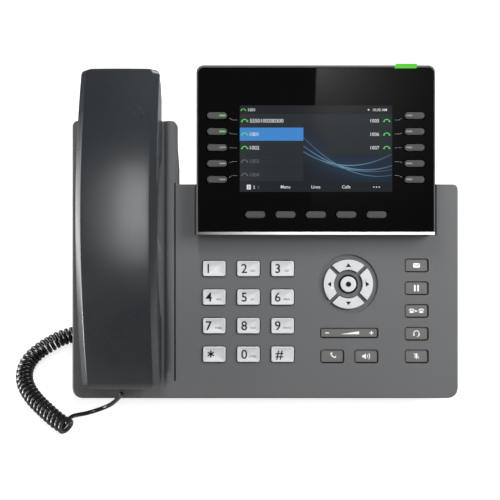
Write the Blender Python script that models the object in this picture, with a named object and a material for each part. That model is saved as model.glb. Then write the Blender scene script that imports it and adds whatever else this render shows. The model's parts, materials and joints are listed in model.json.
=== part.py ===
"""Desk IP phone: handset on a cradle, keypad, tilted colour display, footstand and curly cord.

Everything on the sloping face is modelled in the face frame: u runs to the right, v runs up
the face and n stands out of it.  The face frame is an empty turned by TILT about X.  What lies
on or faces the desk is modelled in the desk frame, whose z = 0 is the desk top.
"""
import math

import bmesh
import bpy
from mathutils import Matrix, Vector

MM = 0.001

# Pose of the sloping face over the desk
TILT = math.radians(42.0)
FACE_Y = -73.04 * MM
FACE_Z = 13.8 * MM

# Front cover: keypad area and handset cradle in one moulding
BODY_HALF = 123.7 * MM
KEYPAD_TOP = 137.3 * MM
CRADLE_RIGHT = -56.7 * MM
CRADLE_TOP = 178.1 * MM
BODY_CORNER = 6.4 * MM
CRADLE_CORNER = 3.5 * MM
PLATE = 2.4 * MM
SKIRT_DEPTH = 9.0 * MM
RIM_BEVEL = 0.9 * MM
GROOVE = (-58.3 * MM, -57.3 * MM)
GROOVE_LOW = 11.3 * MM
GROOVE_DEPTH = 1.6 * MM
GROOVE_OVERRUN = 0.8 * MM
GAP = 0.3 * MM
CUT_CLEAR = 1.0 * MM
STEP_RADIUS = 3.2 * MM
MIN_CORNER = 0.5 * MM
KEYPAD_HOLLOW_CORNER = 4.0 * MM
KEYPAD_HOLLOW_LEFT = -56.3 * MM
DISPLAY_SLOTS = ((-45.2 * MM, -44.3 * MM), (108.9 * MM, 109.8 * MM))

# Slope of the cradle down to the right side of the handset: how deep it is at each v
TROUGH_EDGE = -58.8 * MM
TROUGH_FLAT = -65.0 * MM
TROUGH_WALL = -66.4 * MM
TROUGH_RADIUS = 6.2 * MM
TROUGH_STEPS = 8
TROUGH_RISE = 0.05 * MM
TROUGH_SHARES = (
    (4.0 * MM, 0.0),
    (6.0 * MM, 0.08),
    (8.0 * MM, 0.3),
    (10.5 * MM, 0.62),
    (13.5 * MM, 0.9),
    (17.0 * MM, 1.0),
    (180.0 * MM, 1.0),
)

# Cradle pockets, finger dish, hook switch and rest tab
HANDSET_U = -88.7 * MM
POCKET_HALF = 22.2 * MM
POCKET_DEPTH = 5.0 * MM
EAR_POCKET_LOW = 154.0 * MM
MOUTH_POCKET = (14.0 * MM, 52.0 * MM)
DISH_V = 92.3 * MM
DISH_RADIUS = 22.5 * MM
DISH_FLOOR_RADIUS = 15.0 * MM
DISH_DEPTH = 4.0 * MM
CRADLE_HOLLOW = (56.0 * MM, 138.0 * MM)
CRADLE_HOLLOW_RIGHT = -69.0 * MM
CRADLE_HOLLOW_CORNER = 2.0 * MM
DISH_BOSS_WALL = 2.5 * MM
POCKET_CORNER = 4.0 * MM
POCKET_OVERRUN = 5.0 * MM
SMALL_CORNER = 0.8 * MM
HOOK_V = 165.0 * MM
HOOK_SIZE = (10.0 * MM, 6.0 * MM)
HOOK_N = (-14.0 * MM, -5.05 * MM)
TAB_V = 145.0 * MM
TAB_SIZE = (14.0 * MM, 6.6 * MM)
TAB_DEPTH = 8.0 * MM
TAB_TOP = -0.2 * MM

# Handset
HANDSET_HALF = 23.85 * MM
HANDSET_V = (9.8 * MM, 205.6 * MM)
ARCH_PEAK_V = 115.0 * MM
ARCH_PEAK_N = 47.5 * MM
ARCH_DROP_LOW = 21.2 * MM
ARCH_DROP_HIGH = 18.4 * MM
OUTER_SHELL_DEPTH = 10.0 * MM
OUTER_ROOM_DEPTH = 13.0 * MM
OUTER_ROOM_SIDE = 4.4 * MM
SEAM_INSET = 0.6 * MM
BOSS_CORNER = 3.0 * MM
BOSS_TOP = 5.0 * MM
# Side profile of the inner face as (v, n): its two end points and what lies between them
HANDSET_TIPS = ((10.8 * MM, 8.0 * MM), (204.8 * MM, 18.0 * MM))
HANDSET_ARCH = (
    (13.8 * MM, 3.5 * MM),
    (50.0 * MM, 3.5 * MM),
    (58.0 * MM, 13.0 * MM),
    (70.0 * MM, 20.5 * MM),
    (86.0 * MM, 25.6 * MM),
    (105.0 * MM, 27.4 * MM),
    (124.0 * MM, 25.0 * MM),
    (138.0 * MM, 18.5 * MM),
    (148.0 * MM, 11.0 * MM),
    (153.5 * MM, 3.5 * MM),
    (192.0 * MM, 3.5 * MM),
    (199.0 * MM, 8.5 * MM),
)
SHELL_WALL = 2.4 * MM
HANDSET_BEVEL = 4.0 * MM
BOSS_HALF = 19.4 * MM
BOSS_BOTTOM = -4.7 * MM
EAR_BOSS = (158.0 * MM, 176.0 * MM)
MOUTH_BOSS = (17.0 * MM, 49.0 * MM)

# Keys: width, height, corner radius
DIGIT_SIZE = (14.8 * MM, 10.2 * MM, 1.6 * MM)
FUNCTION_SIZE = (14.6 * MM, 8.0 * MM, 1.2 * MM)
LINE_SIZE = (12.7 * MM, 4.4 * MM, 1.2 * MM)
KEY_CLEARANCE = 0.4 * MM
KEY_FLANGE = 0.8 * MM
KEY_LEDGE = -2.7 * MM
KEY_BOTTOM = -4.4 * MM
KEY_BEVEL = 0.5 * MM
DIGIT_COLUMNS = (-32.7 * MM, -10.8 * MM, 11.1 * MM)
DIGIT_ROWS = (83.2 * MM, 64.9 * MM, 46.6 * MM, 28.3 * MM)
DIGIT_NAMES = (
    ("1", "2", "3"),
    ("4", "5", "6"),
    ("7", "8", "9"),
    ("star", "0", "hash"),
)
DIGIT_TOP = 1.3 * MM
FUNCTION_TOP = -0.8 * MM
FUNCTION_U = 97.1 * MM
FUNCTION_ROWS = (85.2 * MM, 70.6 * MM, 56.0 * MM, 41.4 * MM, 26.9 * MM)
FUNCTION_NAMES = ("key_message", "key_hold", "key_transfer", "key_headset", "key_mute")
SEND_U = 43.0 * MM
SPEAKER_U = 64.9 * MM
CALL_ROW = 26.9 * MM
ROCKER_CENTRE = (53.9 * MM, 41.9 * MM)
ROCKER_SIZE = (36.6 * MM, 5.9 * MM, 1.0 * MM)
ROCKER_LEDGE = -3.9 * MM
ROCKER_BOTTOM = -5.2 * MM
ROCKER_AXIS_N = -3.0 * MM

# Navigation ring
NAV_CENTRE = (53.3 * MM, 73.2 * MM)
NAV_DISH_RADIUS = 19.1 * MM
NAV_DISH_DEPTH = 1.3 * MM
NAV_INNER = 9.2 * MM
NAV_OUTER = 15.8 * MM
NAV_SPLIT = 2.35 * MM
NAV_FLANGE = 0.6 * MM
NAV_FLANGE_SPLIT = 0.95 * MM
NAV_TOP = 0.6 * MM
OK_RADIUS = 5.0 * MM
OK_HOLE_RADIUS = 6.3 * MM
OK_FLANGE_RADIUS = 7.0 * MM

# Display
DISPLAY_U = (-43.3 * MM, 106.3 * MM)
DISPLAY_V = (104.7 * MM, 210.9 * MM)
DISPLAY_BACK = 0.5 * MM
DISPLAY_FRONT = 12.0 * MM
DISPLAY_CORNER = 4.4 * MM
WINDOW_U = (-42.2 * MM, 105.2 * MM)
WINDOW_V = (106.5 * MM, 209.2 * MM)
WINDOW_BACK = 10.2 * MM
WINDOW_FRONT = 11.8 * MM
DISPLAY_FLOOR = 3.0 * MM
DISPLAY_WALL = 2.6 * MM
DISPLAY_RAIL = 3.6 * MM
DISPLAY_FOOT_CORNER = 0.6 * MM
SCREEN_ROOM_CORNER = 2.5 * MM
NECK_CORNER = 2.0 * MM
WINDOW_CORNER = 3.2 * MM
WINDOW_BEVEL = 0.2 * MM
EDGE_BEVEL = 0.4 * MM
DISPLAY_NECK_U = (-34.5 * MM, 97.5 * MM)
DISPLAY_NECK_V = (138.3 * MM, 175.5 * MM)
LCD_U = (-18.6 * MM, 81.8 * MM)
LCD_V = (128.7 * MM, 188.3 * MM)
LCD_N = (5.5 * MM, 9.6 * MM)
LCD_CORNER = 1.0 * MM
LINE_KEY_U = (-30.4 * MM, 93.2 * MM)
LINE_KEY_ROWS = (179.2 * MM, 169.2 * MM, 159.2 * MM, 149.2 * MM, 139.2 * MM)
SOFT_KEY_V = 117.2 * MM
SOFT_KEY_FIRST_U = -6.5 * MM
SOFT_KEY_PITCH = 19.0 * MM
DISPLAY_KEY_TOP = 12.9 * MM
DISPLAY_KEY_LEDGE = 9.9 * MM
DISPLAY_KEY_BOTTOM = 8.5 * MM
LAMP_U = (81.4 * MM, 95.0 * MM)
LAMP_V = (209.5 * MM, 211.9 * MM)
LAMP_N = (3.0 * MM, 12.2 * MM)
LAMP_CORNER = 0.6 * MM

# Rear cover profile over v, as depth behind the face
REAR_HALF = 122.5 * MM
REAR_LOW = 1.5 * MM
REAR_SEAM = 9.3 * MM
REAR_THIN = 15.0 * MM
REAR_DEEP = 35.0 * MM
PORT_WALL_LOW = 58.0 * MM
REAR_TAPER_LOW = 150.0 * MM
REAR_TOP = 176.5 * MM
REAR_WALL = 2.4 * MM
REAR_EDGE = 2.0 * MM
REAR_STEP = 1.2 * MM
REAR_OVERRUN = 4.0 * MM
REAR_PLAN_N = (-60.0 * MM, 20.0 * MM)

# Inner parts
BOARD_U = (-50.0 * MM, 117.0 * MM)
BOARD_V = (12.0 * MM, 130.0 * MM)
BOARD_N = (-8.9 * MM, -7.3 * MM)
BOARD_CORNER = 1.5 * MM
SPEAKER_CENTRE = (-88.0 * MM, 112.0 * MM)
SPEAKER_RADIUS = 20.0 * MM
SPEAKER_N = (-31.0 * MM, -13.0 * MM)
GRILLE_SLOTS = 7
GRILLE_PITCH = 5.2 * MM
GRILLE_SLOT = (2.0 * MM, 30.0 * MM)
GRILLE_CORNER = 0.6 * MM

# Jacks: x, width, height; all open straight down through the port wall
JACK_BLOCK_X = (-54.0 * MM, 50.0 * MM)
JACK_BLOCK_Y = (60.5 * MM, 77.0 * MM)
JACK_BLOCK_TOP = 53.4 * MM
JACK_DEPTH = 10.2 * MM
JACK_Y = 68.7 * MM
JACKS = (
    (-45.0 * MM, 8.0 * MM, 6.8 * MM),
    (-28.0 * MM, 8.0 * MM, 6.8 * MM),
    (-6.0 * MM, 11.8 * MM, 8.2 * MM),
    (15.0 * MM, 11.8 * MM, 8.2 * MM),
    (36.0 * MM, 7.0 * MM, 7.0 * MM),
)

# Stand and foot, in the desk frame
STAND_HALF = 56.0 * MM
STAND_RIB = 3.0 * MM
STAND_PLATE = 4.0 * MM
STAND_V = (84.0 * MM, 134.0 * MM)
STAND_FOOT_Y = 148.0 * MM
STAND_TRAVEL = 8.0 * MM
PEG_U = 40.0 * MM
PEG_ROWS = (98.0 * MM, 124.0 * MM)
PEG_SIDE = 5.0 * MM
PEG_ROOT = 2.0 * MM
PEG_REACH = 4.5 * MM
STAND_KNEE = (-9.0 * MM, 1.0 * MM)
STAND_SOLE = (
    (-8.5 * MM, 3.0 * MM),
    (-13.0 * MM, 3.0 * MM),
    (-13.0 * MM, 0.0),
    (0.0, 0.0),
    (0.0, 3.0 * MM),
    (-4.0 * MM, 6.0 * MM),
)
RIB_START = (3.0 * MM, 10.0 * MM)
RIB_SINK = 1.5 * MM
RIB_RISE = 5.0 * MM
RIB_INSET = 1.0 * MM
RIB_SOLE = (
    (-19.0 * MM, 40.0 * MM),
    (-12.5 * MM, 6.0 * MM),
    (-6.5 * MM, 5.0 * MM),
)
FOOT_HALF = 100.0 * MM
FOOT_V = (4.0 * MM, 9.0 * MM, 14.0 * MM)

# Cord
CORD_RADIUS = 1.2 * MM
COIL_RADIUS = 5.9 * MM
PLUG_U = -90.2 * MM
PLUG_N = 11.0 * MM
PLUG_HALF = 3.8 * MM
PLUG_HALF_HEIGHT = 3.1 * MM
PLUG_REACH = 10.0 * MM
PLUG_PROUD = 0.4 * MM
SOCKET_CLEAR = 0.4 * MM
SOCKET_DEPTH = 8.0 * MM
COLLAR_RADIUS = 1.9 * MM
COLLAR_LENGTH = 2.4 * MM
BASE_PLUG_HALF = (3.7 * MM, 3.1 * MM)
BASE_PLUG_LOW = 33.8 * MM

# The coil's axis on the desk, from the end near the handset to the end under the phone
COIL_ROUTE = (
    (-125.5, -16.5, 5.9),
    (-133.9, -10.5, 5.9),
    (-142.6, -2.9, 5.9),
    (-150.8, 5.2, 5.9),
    (-157.4, 14.5, 5.9),
    (-160.3, 24.0, 5.9),
    (-159.2, 33.5, 5.9),
    (-154.4, 41.4, 5.9),
    (-147.0, 48.3, 5.9),
    (-138.4, 53.9, 5.9),
    (-124.0, 58.0, 5.9),
    (-104.0, 58.5, 5.9),
    (-84.0, 56.0, 5.9),
    (-62.0, 53.5, 5.9),
    (-38.0, 52.5, 5.9),
    (-16.0, 54.5, 5.9),
)

# The straight lead from the handset plug down to the desk and up to the coil's end
HANDSET_LEAD_ROUTE = (
    (-90.3, -3.6, 25.4),
    (-91.5, -3.0, 22.0),
    (-94.8, -1.6, 15.0),
    (-99.6, -0.4, 7.4),
    (-104.6, -0.3, 3.2),
    (-110.4, -1.7, 1.6),
    (-115.8, -3.5, 1.5),
    (-120.4, -5.6, 3.2),
    (-123.2, -8.6, 6.6),
)

# The straight lead from the coil's inner end back and up into the handset jack
BASE_LEAD_ROUTE = (
    (-14.2, 54.9, 5.2),
    (-8.0, 57.0, 3.0),
    (-4.5, 62.5, 1.6),
    (-8.0, 68.0, 1.6),
    (-17.0, 70.5, 1.8),
    (-28.0, 70.5, 4.0),
    (-37.0, 69.6, 9.5),
    (-42.6, 68.9, 17.5),
    (-44.8, 68.7, 25.5),
    (-45.0, 68.7, 33.4),
)


# ---------------------------------------------------------------- helpers

def clear_scene():
    """Remove every object that the scene starts with."""
    for item in list(bpy.data.objects):
        bpy.data.objects.remove(item, do_unlink=True)


def new_collection(name):
    """Add a collection to the scene."""
    group = bpy.data.collections.new(name)
    bpy.context.scene.collection.children.link(group)
    return group


def make_material(name, colour, roughness, metallic=0.0):
    """Principled material with one colour, roughness and metallic value."""
    material = bpy.data.materials.new(name)
    material.use_nodes = True
    shader = material.node_tree.nodes["Principled BSDF"]
    shader.inputs["Base Color"].default_value = (*colour, 1.0)
    shader.inputs["Roughness"].default_value = roughness
    shader.inputs["Metallic"].default_value = metallic
    return material


def round_corner(before, corner, after, radius, steps):
    """Points of the arc that rounds one corner of an outline."""
    here = Vector(corner)
    back = (Vector(before) - here).normalized()
    ahead = (Vector(after) - here).normalized()
    half = back.angle(ahead) / 2
    centre = here + (back + ahead).normalized() * radius / math.sin(half)
    first = here + back * radius / math.tan(half) - centre
    last = here + ahead * radius / math.tan(half) - centre
    turn = first.angle_signed(last)
    points = []
    for step in range(steps + 1):
        spoke = first.copy()
        spoke.rotate(Matrix.Rotation(-turn * step / steps, 2))
        points.append(tuple(centre + spoke))
    return points


def rounded_outline(corners, steps=3):
    """Closed outline through (x, y, radius) corners, with the round ones as arcs."""
    points = []
    for index, (x, y, radius) in enumerate(corners):
        if radius <= 0:
            points.append((x, y))
            continue
        before = corners[index - 1][:2]
        after = corners[(index + 1) % len(corners)][:2]
        points += round_corner(before, (x, y), after, radius, steps)
    return points


def rectangle(low_x, high_x, low_y, high_y, radius=0.0, steps=3):
    """Outline of a rectangle with equally rounded corners."""
    corners = [
        (low_x, low_y, radius),
        (high_x, low_y, radius),
        (high_x, high_y, radius),
        (low_x, high_y, radius),
    ]
    return rounded_outline(corners, steps)


def centred_rectangle(width, height, radius, grow=0.0, steps=2):
    """Outline of a rectangle about the origin, widened by grow on every side."""
    half_x = width / 2 + grow
    half_y = height / 2 + grow
    return rectangle(-half_x, half_x, -half_y, half_y, max(radius + grow, 0.2 * MM), steps)


def circle(centre, radius, steps):
    """Outline of a circle."""
    points = []
    for step in range(steps):
        angle = 2 * math.pi * step / steps
        points.append((centre[0] + radius * math.cos(angle), centre[1] + radius * math.sin(angle)))
    return points


def ring_sector(facing, inner, outer, split, steps=6):
    """Outline of a quarter of a ring whose straight sides keep split / 2 from the diagonals."""
    points = []
    for radius, direction in ((outer, 1), (inner, -1)):
        trim = math.asin(split / 2 / radius)
        reach = (math.pi / 4 - trim) * direction
        for step in range(steps + 1):
            angle = facing - reach + 2 * reach * step / steps
            points.append((radius * math.cos(angle), radius * math.sin(angle)))
    return points


def slab_mesh(name, outline, low, high, bevel=0.0, segments=1):
    """Closed slab of a flat outline between two heights, its upper rim bevelled."""
    curve = bpy.data.curves.new(name, "CURVE")
    curve.dimensions = "2D"
    curve.fill_mode = "BOTH"
    curve.extrude = (high - low) / 2
    spline = curve.splines.new("POLY")
    spline.points.add(len(outline) - 1)
    for point, (x, y) in zip(spline.points, outline):
        point.co = (x, y, 0.0, 1.0)
    spline.use_cyclic_u = True
    mesh = curve_to_mesh(name, curve)
    solid = bmesh.new()
    solid.from_mesh(mesh)
    bmesh.ops.dissolve_limit(solid, angle_limit=0.001, verts=solid.verts, edges=solid.edges)
    bmesh.ops.translate(solid, vec=(0, 0, (low + high) / 2), verts=solid.verts)
    if bevel > 0:
        rim = [edge for edge in solid.edges if min(vert.co.z for vert in edge.verts) > high - bevel / 10]
        bmesh.ops.bevel(solid, geom=rim, offset=bevel, segments=segments, affect="EDGES", profile=0.5)
    bmesh.ops.recalc_face_normals(solid, faces=solid.faces)
    solid.to_mesh(mesh)
    solid.free()
    return mesh


def curve_to_mesh(name, curve):
    """Evaluate a curve as a mesh with its caps welded, and drop the curve."""
    guide = bpy.data.objects.new(name + "_guide", curve)
    bpy.context.scene.collection.objects.link(guide)
    bpy.context.view_layer.update()
    graph = bpy.context.evaluated_depsgraph_get()
    mesh = bpy.data.meshes.new_from_object(guide.evaluated_get(graph))
    mesh.name = name
    bpy.data.objects.remove(guide, do_unlink=True)
    solid = bmesh.new()
    solid.from_mesh(mesh)
    bmesh.ops.remove_doubles(solid, verts=solid.verts, dist=0.001 * MM)
    bmesh.ops.recalc_face_normals(solid, faces=solid.faces)
    solid.to_mesh(mesh)
    solid.free()
    return mesh


def across_mesh(name, profile, low_x, high_x):
    """Slab whose outline is a side profile (y, z), running from low_x to high_x."""
    mesh = slab_mesh(name, profile, low_x, high_x)
    turn = Matrix(((0, 0, 1, 0), (1, 0, 0, 0), (0, 1, 0, 0), (0, 0, 0, 1)))
    mesh.transform(turn)
    return mesh


def flanged_mesh(name, cap, flange, top, ledge, bottom, bevel):
    """Key cap whose foot steps out to a flange that the cover holds in."""
    mesh = slab_mesh(name, cap, ledge, top, bevel)
    solid = bmesh.new()
    solid.from_mesh(mesh)
    foot = min(solid.faces, key=lambda face: face.calc_center_median().z)
    for outline, height in ((flange, ledge), (flange, bottom)):
        foot = bmesh.ops.extrude_discrete_faces(solid, faces=[foot])["faces"][0]
        for vert in foot.verts:
            flat = vert.co.xy
            source = cap if height == ledge else flange
            nearest = min(range(len(source)), key=lambda i: (Vector(source[i]) - flat).length)
            vert.co = (*outline[nearest], height)
    bmesh.ops.recalc_face_normals(solid, faces=solid.faces)
    solid.to_mesh(mesh)
    solid.free()
    return mesh


def merge_meshes(name, meshes):
    """One cutter mesh that holds several separate closed shapes."""
    solid = bmesh.new()
    for mesh in meshes:
        solid.from_mesh(mesh)
    merged = bpy.data.meshes.new(name)
    solid.to_mesh(merged)
    solid.free()
    return merged


def moved(mesh, offset):
    """Shift a mesh by an offset and return it."""
    mesh.transform(Matrix.Translation(Vector(offset)))
    return mesh


def smooth_path(route, per_span):
    """Points on a Catmull-Rom curve through a route given in millimetres."""
    knots = [Vector(point) * MM for point in route]
    knots = [2 * knots[0] - knots[1]] + knots + [2 * knots[-1] - knots[-2]]
    points = []
    for index in range(1, len(knots) - 2):
        a, b, c, d = knots[index - 1:index + 3]
        for step in range(per_span):
            t = step / per_span
            points.append(0.5 * (
                2 * b + (c - a) * t + (2 * a - 5 * b + 4 * c - d) * t ** 2
                + (3 * b - 3 * c + d - a) * t ** 3
            ))
    points.append(knots[-2])
    return points


def tube_mesh(name, route, radius, resolution, per_span):
    """Round tube with filled caps along a smooth route."""
    curve = bpy.data.curves.new(name, "CURVE")
    curve.dimensions = "3D"
    curve.bevel_depth = radius
    curve.bevel_resolution = resolution
    curve.use_fill_caps = True
    points = smooth_path(route, per_span)
    spline = curve.splines.new("POLY")
    spline.points.add(len(points) - 1)
    for point, place in zip(spline.points, points):
        point.co = (*place, 1.0)
    return curve_to_mesh(name, curve)


class Workshop:
    """Holds the collections, the two frames and the materials while the phone is put together."""

    def __init__(self):
        self.parts = new_collection("desk_phone")
        self.cutters = new_collection("desk_phone_cutters")
        self.face = self.frame("face_frame", (0, FACE_Y, FACE_Z), TILT)
        self.desk = self.frame("desk_frame", (0, FACE_Y, 0), 0.0)
        self.materials = {}

    def frame(self, name, place, tilt):
        """Empty that carries a coordinate frame."""
        empty = bpy.data.objects.new(name, None)
        empty.location = place
        empty.rotation_euler = (tilt, 0, 0)
        self.parts.objects.link(empty)
        return empty

    def part(self, name, mesh, material, place=(0, 0, 0), frame=None, smooth_angle=35):
        """Add a named solid with its material."""
        item = bpy.data.objects.new(name, mesh)
        item.parent = frame or self.face
        item.location = place
        mesh.shade_smooth()
        mesh.set_sharp_from_angle(angle=math.radians(smooth_angle))
        if not mesh.materials:
            mesh.materials.append(self.materials[material])
        self.parts.objects.link(item)
        return item

    def tool(self, name, mesh, place=(0, 0, 0), frame=None):
        """Add a hidden solid that cuts or joins a part."""
        item = bpy.data.objects.new(name, mesh)
        item.parent = frame or self.face
        item.location = place
        item.display_type = "WIRE"
        item.hide_render = True
        self.cutters.objects.link(item)
        return item

    def join(self, target, tool, operation="DIFFERENCE"):
        """Cut a part with a tool, or unite or intersect them."""
        modifier = target.modifiers.new(tool.name, "BOOLEAN")
        modifier.operation = operation
        modifier.object = tool
        modifier.solver = "EXACT"


def add_materials(shop):
    """The finishes of the phone's parts."""
    shop.materials = {
        "grey_plastic": make_material("grey_plastic", (0.16, 0.16, 0.17), 0.45),
        "dark_plastic": make_material("dark_plastic", (0.04, 0.045, 0.05), 0.45),
        "handset_plastic": make_material("handset_plastic", (0.05, 0.055, 0.06), 0.3),
        "housing_plastic": make_material("housing_plastic", (0.1, 0.1, 0.11), 0.35),
        "window_glass": make_material("window_glass", (0.01, 0.01, 0.012), 0.08),
        "silver_keys": make_material("silver_keys", (0.75, 0.76, 0.78), 0.3),
        "grey_keys": make_material("grey_keys", (0.14, 0.14, 0.15), 0.4),
        "screen": make_material("screen", (0.02, 0.04, 0.08), 0.2),
        "lamp": make_material("lamp", (0.2, 0.9, 0.1), 0.3),
        "rubber": make_material("rubber", (0.03, 0.03, 0.03), 0.8),
        "cord": make_material("cord", (0.01, 0.01, 0.01), 0.25),
        "board_green": make_material("board_green", (0.02, 0.16, 0.06), 0.5),
        "jack_black": make_material("jack_black", (0.02, 0.02, 0.02), 0.5),
        "clear_plug": make_material("clear_plug", (0.05, 0.05, 0.055), 0.2),
    }


# ---------------------------------------------------------------- covers

def key_places():
    """Every key of the keypad: name, centre, size, cap height and material."""
    places = []
    for v, names in zip(DIGIT_ROWS, DIGIT_NAMES):
        for u, name in zip(DIGIT_COLUMNS, names):
            places.append(("key_" + name, (u, v), DIGIT_SIZE, DIGIT_TOP, "silver_keys"))
    for v, name in zip(FUNCTION_ROWS, FUNCTION_NAMES):
        places.append((name, (FUNCTION_U, v), FUNCTION_SIZE, FUNCTION_TOP, "grey_keys"))
    places.append(("key_send", (SEND_U, CALL_ROW), FUNCTION_SIZE, FUNCTION_TOP, "grey_keys"))
    places.append(("key_speaker", (SPEAKER_U, CALL_ROW), FUNCTION_SIZE, FUNCTION_TOP, "grey_keys"))
    return places


def front_outline(inset=0.0):
    """Outline of the front cover: keypad area with the cradle rising at its left."""
    return rounded_outline([
        (-BODY_HALF + inset, inset, BODY_CORNER - inset),
        (BODY_HALF - inset, inset, BODY_CORNER - inset),
        (BODY_HALF - inset, KEYPAD_TOP - inset, STEP_RADIUS),
        (CRADLE_RIGHT - inset, KEYPAD_TOP - inset, 0.0),
        (CRADLE_RIGHT - inset, CRADLE_TOP - inset, max(CRADLE_CORNER - inset, MIN_CORNER)),
        (-BODY_HALF + inset, CRADLE_TOP - inset, max(CRADLE_CORNER - inset, MIN_CORNER)),
    ], steps=4)


def keypad_holes():
    """Cutter with the hole of every keypad key, the rocker and the navigation ring."""
    low = -PLATE - CUT_CLEAR
    high = CUT_CLEAR
    holes = []
    for _, centre, size, _, _ in key_places():
        outline = centred_rectangle(*size, grow=KEY_CLEARANCE)
        holes.append(moved(slab_mesh("hole", outline, low, high), (*centre, 0)))
    outline = centred_rectangle(*ROCKER_SIZE, grow=KEY_CLEARANCE)
    holes.append(moved(slab_mesh("hole", outline, low, high), (*ROCKER_CENTRE, 0)))
    for quarter in range(4):
        outline = ring_sector(
            quarter * math.pi / 2,
            NAV_INNER - KEY_CLEARANCE,
            NAV_OUTER + KEY_CLEARANCE,
            NAV_SPLIT - 2 * KEY_CLEARANCE,
        )
        holes.append(moved(slab_mesh("hole", outline, low, high), (*NAV_CENTRE, 0)))
    holes.append(slab_mesh("hole", circle(NAV_CENTRE, OK_HOLE_RADIUS, 20), low, high))
    return merge_meshes("keypad_holes", holes)


def add_front_cover(shop):
    """Front moulding: thin plate over the keypad, thicker cradle with its pockets."""
    mesh = slab_mesh("front_cover", front_outline(), -SKIRT_DEPTH, 0.0, RIM_BEVEL, 2)
    cover = shop.part("front_cover", mesh, "grey_plastic")
    below = -SKIRT_DEPTH - CUT_CLEAR
    inner = rectangle(
        KEYPAD_HOLLOW_LEFT, BODY_HALF - PLATE, PLATE, KEYPAD_TOP - PLATE, KEYPAD_HOLLOW_CORNER,
    )
    shop.join(cover, shop.tool("keypad_hollow", slab_mesh("keypad_hollow", inner, below, -PLATE)))
    middle = rectangle(-BODY_HALF + PLATE, CRADLE_HOLLOW_RIGHT, *CRADLE_HOLLOW, CRADLE_HOLLOW_CORNER)
    hollow = shop.tool("cradle_hollow", slab_mesh("cradle_hollow", middle, below, -PLATE))
    boss = circle((HANDSET_U, DISH_V), DISH_RADIUS + DISH_BOSS_WALL, 32)
    keep = shop.tool("dish_boss", slab_mesh("dish_boss", boss, below - CUT_CLEAR, 0.0))
    shop.join(hollow, keep)
    shop.join(cover, hollow)
    shop.join(cover, shop.tool("keypad_hole_cutter", keypad_holes()))
    cut_cradle_pockets(shop, cover)
    shop.join(cover, shop.tool("cradle_trough", trough_mesh()))
    cut_surface_lines(shop, cover)
    return cover


def trough_mesh():
    """Cutter whose floor slopes down to the handset; it fades out at its lower end."""
    reach = TROUGH_EDGE - TROUGH_FLAT
    rings = []
    for v, share in TROUGH_SHARES:
        ring = []
        for step in range(TROUGH_STEPS + 1):
            run = reach * step / TROUGH_STEPS
            depth = share * run * run / (2 * TROUGH_RADIUS)
            ring.append((TROUGH_EDGE - run, v, TROUGH_RISE * (1 - share) - depth))
        ring.append((TROUGH_WALL, v, ring[-1][2]))
        ring.append((TROUGH_WALL, v, CUT_CLEAR))
        ring.append((TROUGH_EDGE, v, CUT_CLEAR))
        rings.append(ring)
    solid = bmesh.new()
    rows = [[solid.verts.new(point) for point in ring] for ring in rings]
    count = len(rows[0])
    for row, following in zip(rows, rows[1:]):
        for index in range(count):
            after = (index + 1) % count
            solid.faces.new((row[index], row[after], following[after], following[index]))
    solid.faces.new(rows[0])
    solid.faces.new(rows[-1])
    bmesh.ops.recalc_face_normals(solid, faces=solid.faces)
    mesh = bpy.data.meshes.new("cradle_trough")
    solid.to_mesh(mesh)
    solid.free()
    return mesh


def cut_cradle_pockets(shop, cover):
    """Ear and mouth pockets, finger dish, hook switch hole and rest tab slot."""
    left = HANDSET_U - POCKET_HALF
    right = HANDSET_U + POCKET_HALF
    top = CUT_CLEAR
    ear = rounded_outline([
        (left, EAR_POCKET_LOW, POCKET_CORNER),
        (right, EAR_POCKET_LOW, POCKET_CORNER),
        (right, CRADLE_TOP + POCKET_OVERRUN, 0.0),
        (left, CRADLE_TOP + POCKET_OVERRUN, 0.0),
    ])
    mouth = rectangle(left, right, *MOUTH_POCKET, POCKET_CORNER)
    hook = centred_rectangle(*HOOK_SIZE, SMALL_CORNER, grow=KEY_CLEARANCE)
    tab = centred_rectangle(*TAB_SIZE, SMALL_CORNER, grow=KEY_CLEARANCE)
    pockets = [
        slab_mesh("pocket", ear, -POCKET_DEPTH, top),
        slab_mesh("pocket", mouth, -POCKET_DEPTH, top),
        moved(slab_mesh("pocket", tab, -TAB_DEPTH - GAP, top), (HANDSET_U, TAB_V, 0)),
    ]
    shop.join(cover, shop.tool("cradle_pockets", merge_meshes("cradle_pockets", pockets)))
    hole = moved(slab_mesh("hook_hole", hook, -SKIRT_DEPTH - CUT_CLEAR, top), (HANDSET_U, HOOK_V, 0))
    shop.join(cover, shop.tool("hook_hole", hole))
    dish = bmesh.new()
    bmesh.ops.create_cone(
        dish, cap_ends=True, segments=32, radius1=DISH_FLOOR_RADIUS,
        radius2=DISH_RADIUS + (DISH_RADIUS - DISH_FLOOR_RADIUS) / DISH_DEPTH * top,
        depth=DISH_DEPTH + top,
    )
    mesh = bpy.data.meshes.new("finger_dish")
    dish.to_mesh(mesh)
    dish.free()
    shop.join(cover, shop.tool("finger_dish", mesh, (HANDSET_U, DISH_V, (top - DISH_DEPTH) / 2)))


def cut_surface_lines(shop, cover):
    """Groove beside the cradle, slots beside the display and the dish of the navigation keys."""
    line = rectangle(*GROOVE, GROOVE_LOW, KEYPAD_TOP + GROOVE_OVERRUN)
    lines = [slab_mesh("groove", line, -GROOVE_DEPTH, CUT_CLEAR)]
    for edges in DISPLAY_SLOTS:
        slot = rectangle(*edges, DISPLAY_V[0], KEYPAD_TOP + CUT_CLEAR)
        lines.append(slab_mesh("display_slot", slot, -GROOVE_DEPTH, CUT_CLEAR))
    shop.join(cover, shop.tool("groove", merge_meshes("groove", lines)))
    dish = circle(NAV_CENTRE, NAV_DISH_RADIUS, 48)
    shop.join(cover, shop.tool("nav_dish", slab_mesh("nav_dish", dish, -NAV_DISH_DEPTH, CUT_CLEAR)))


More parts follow.
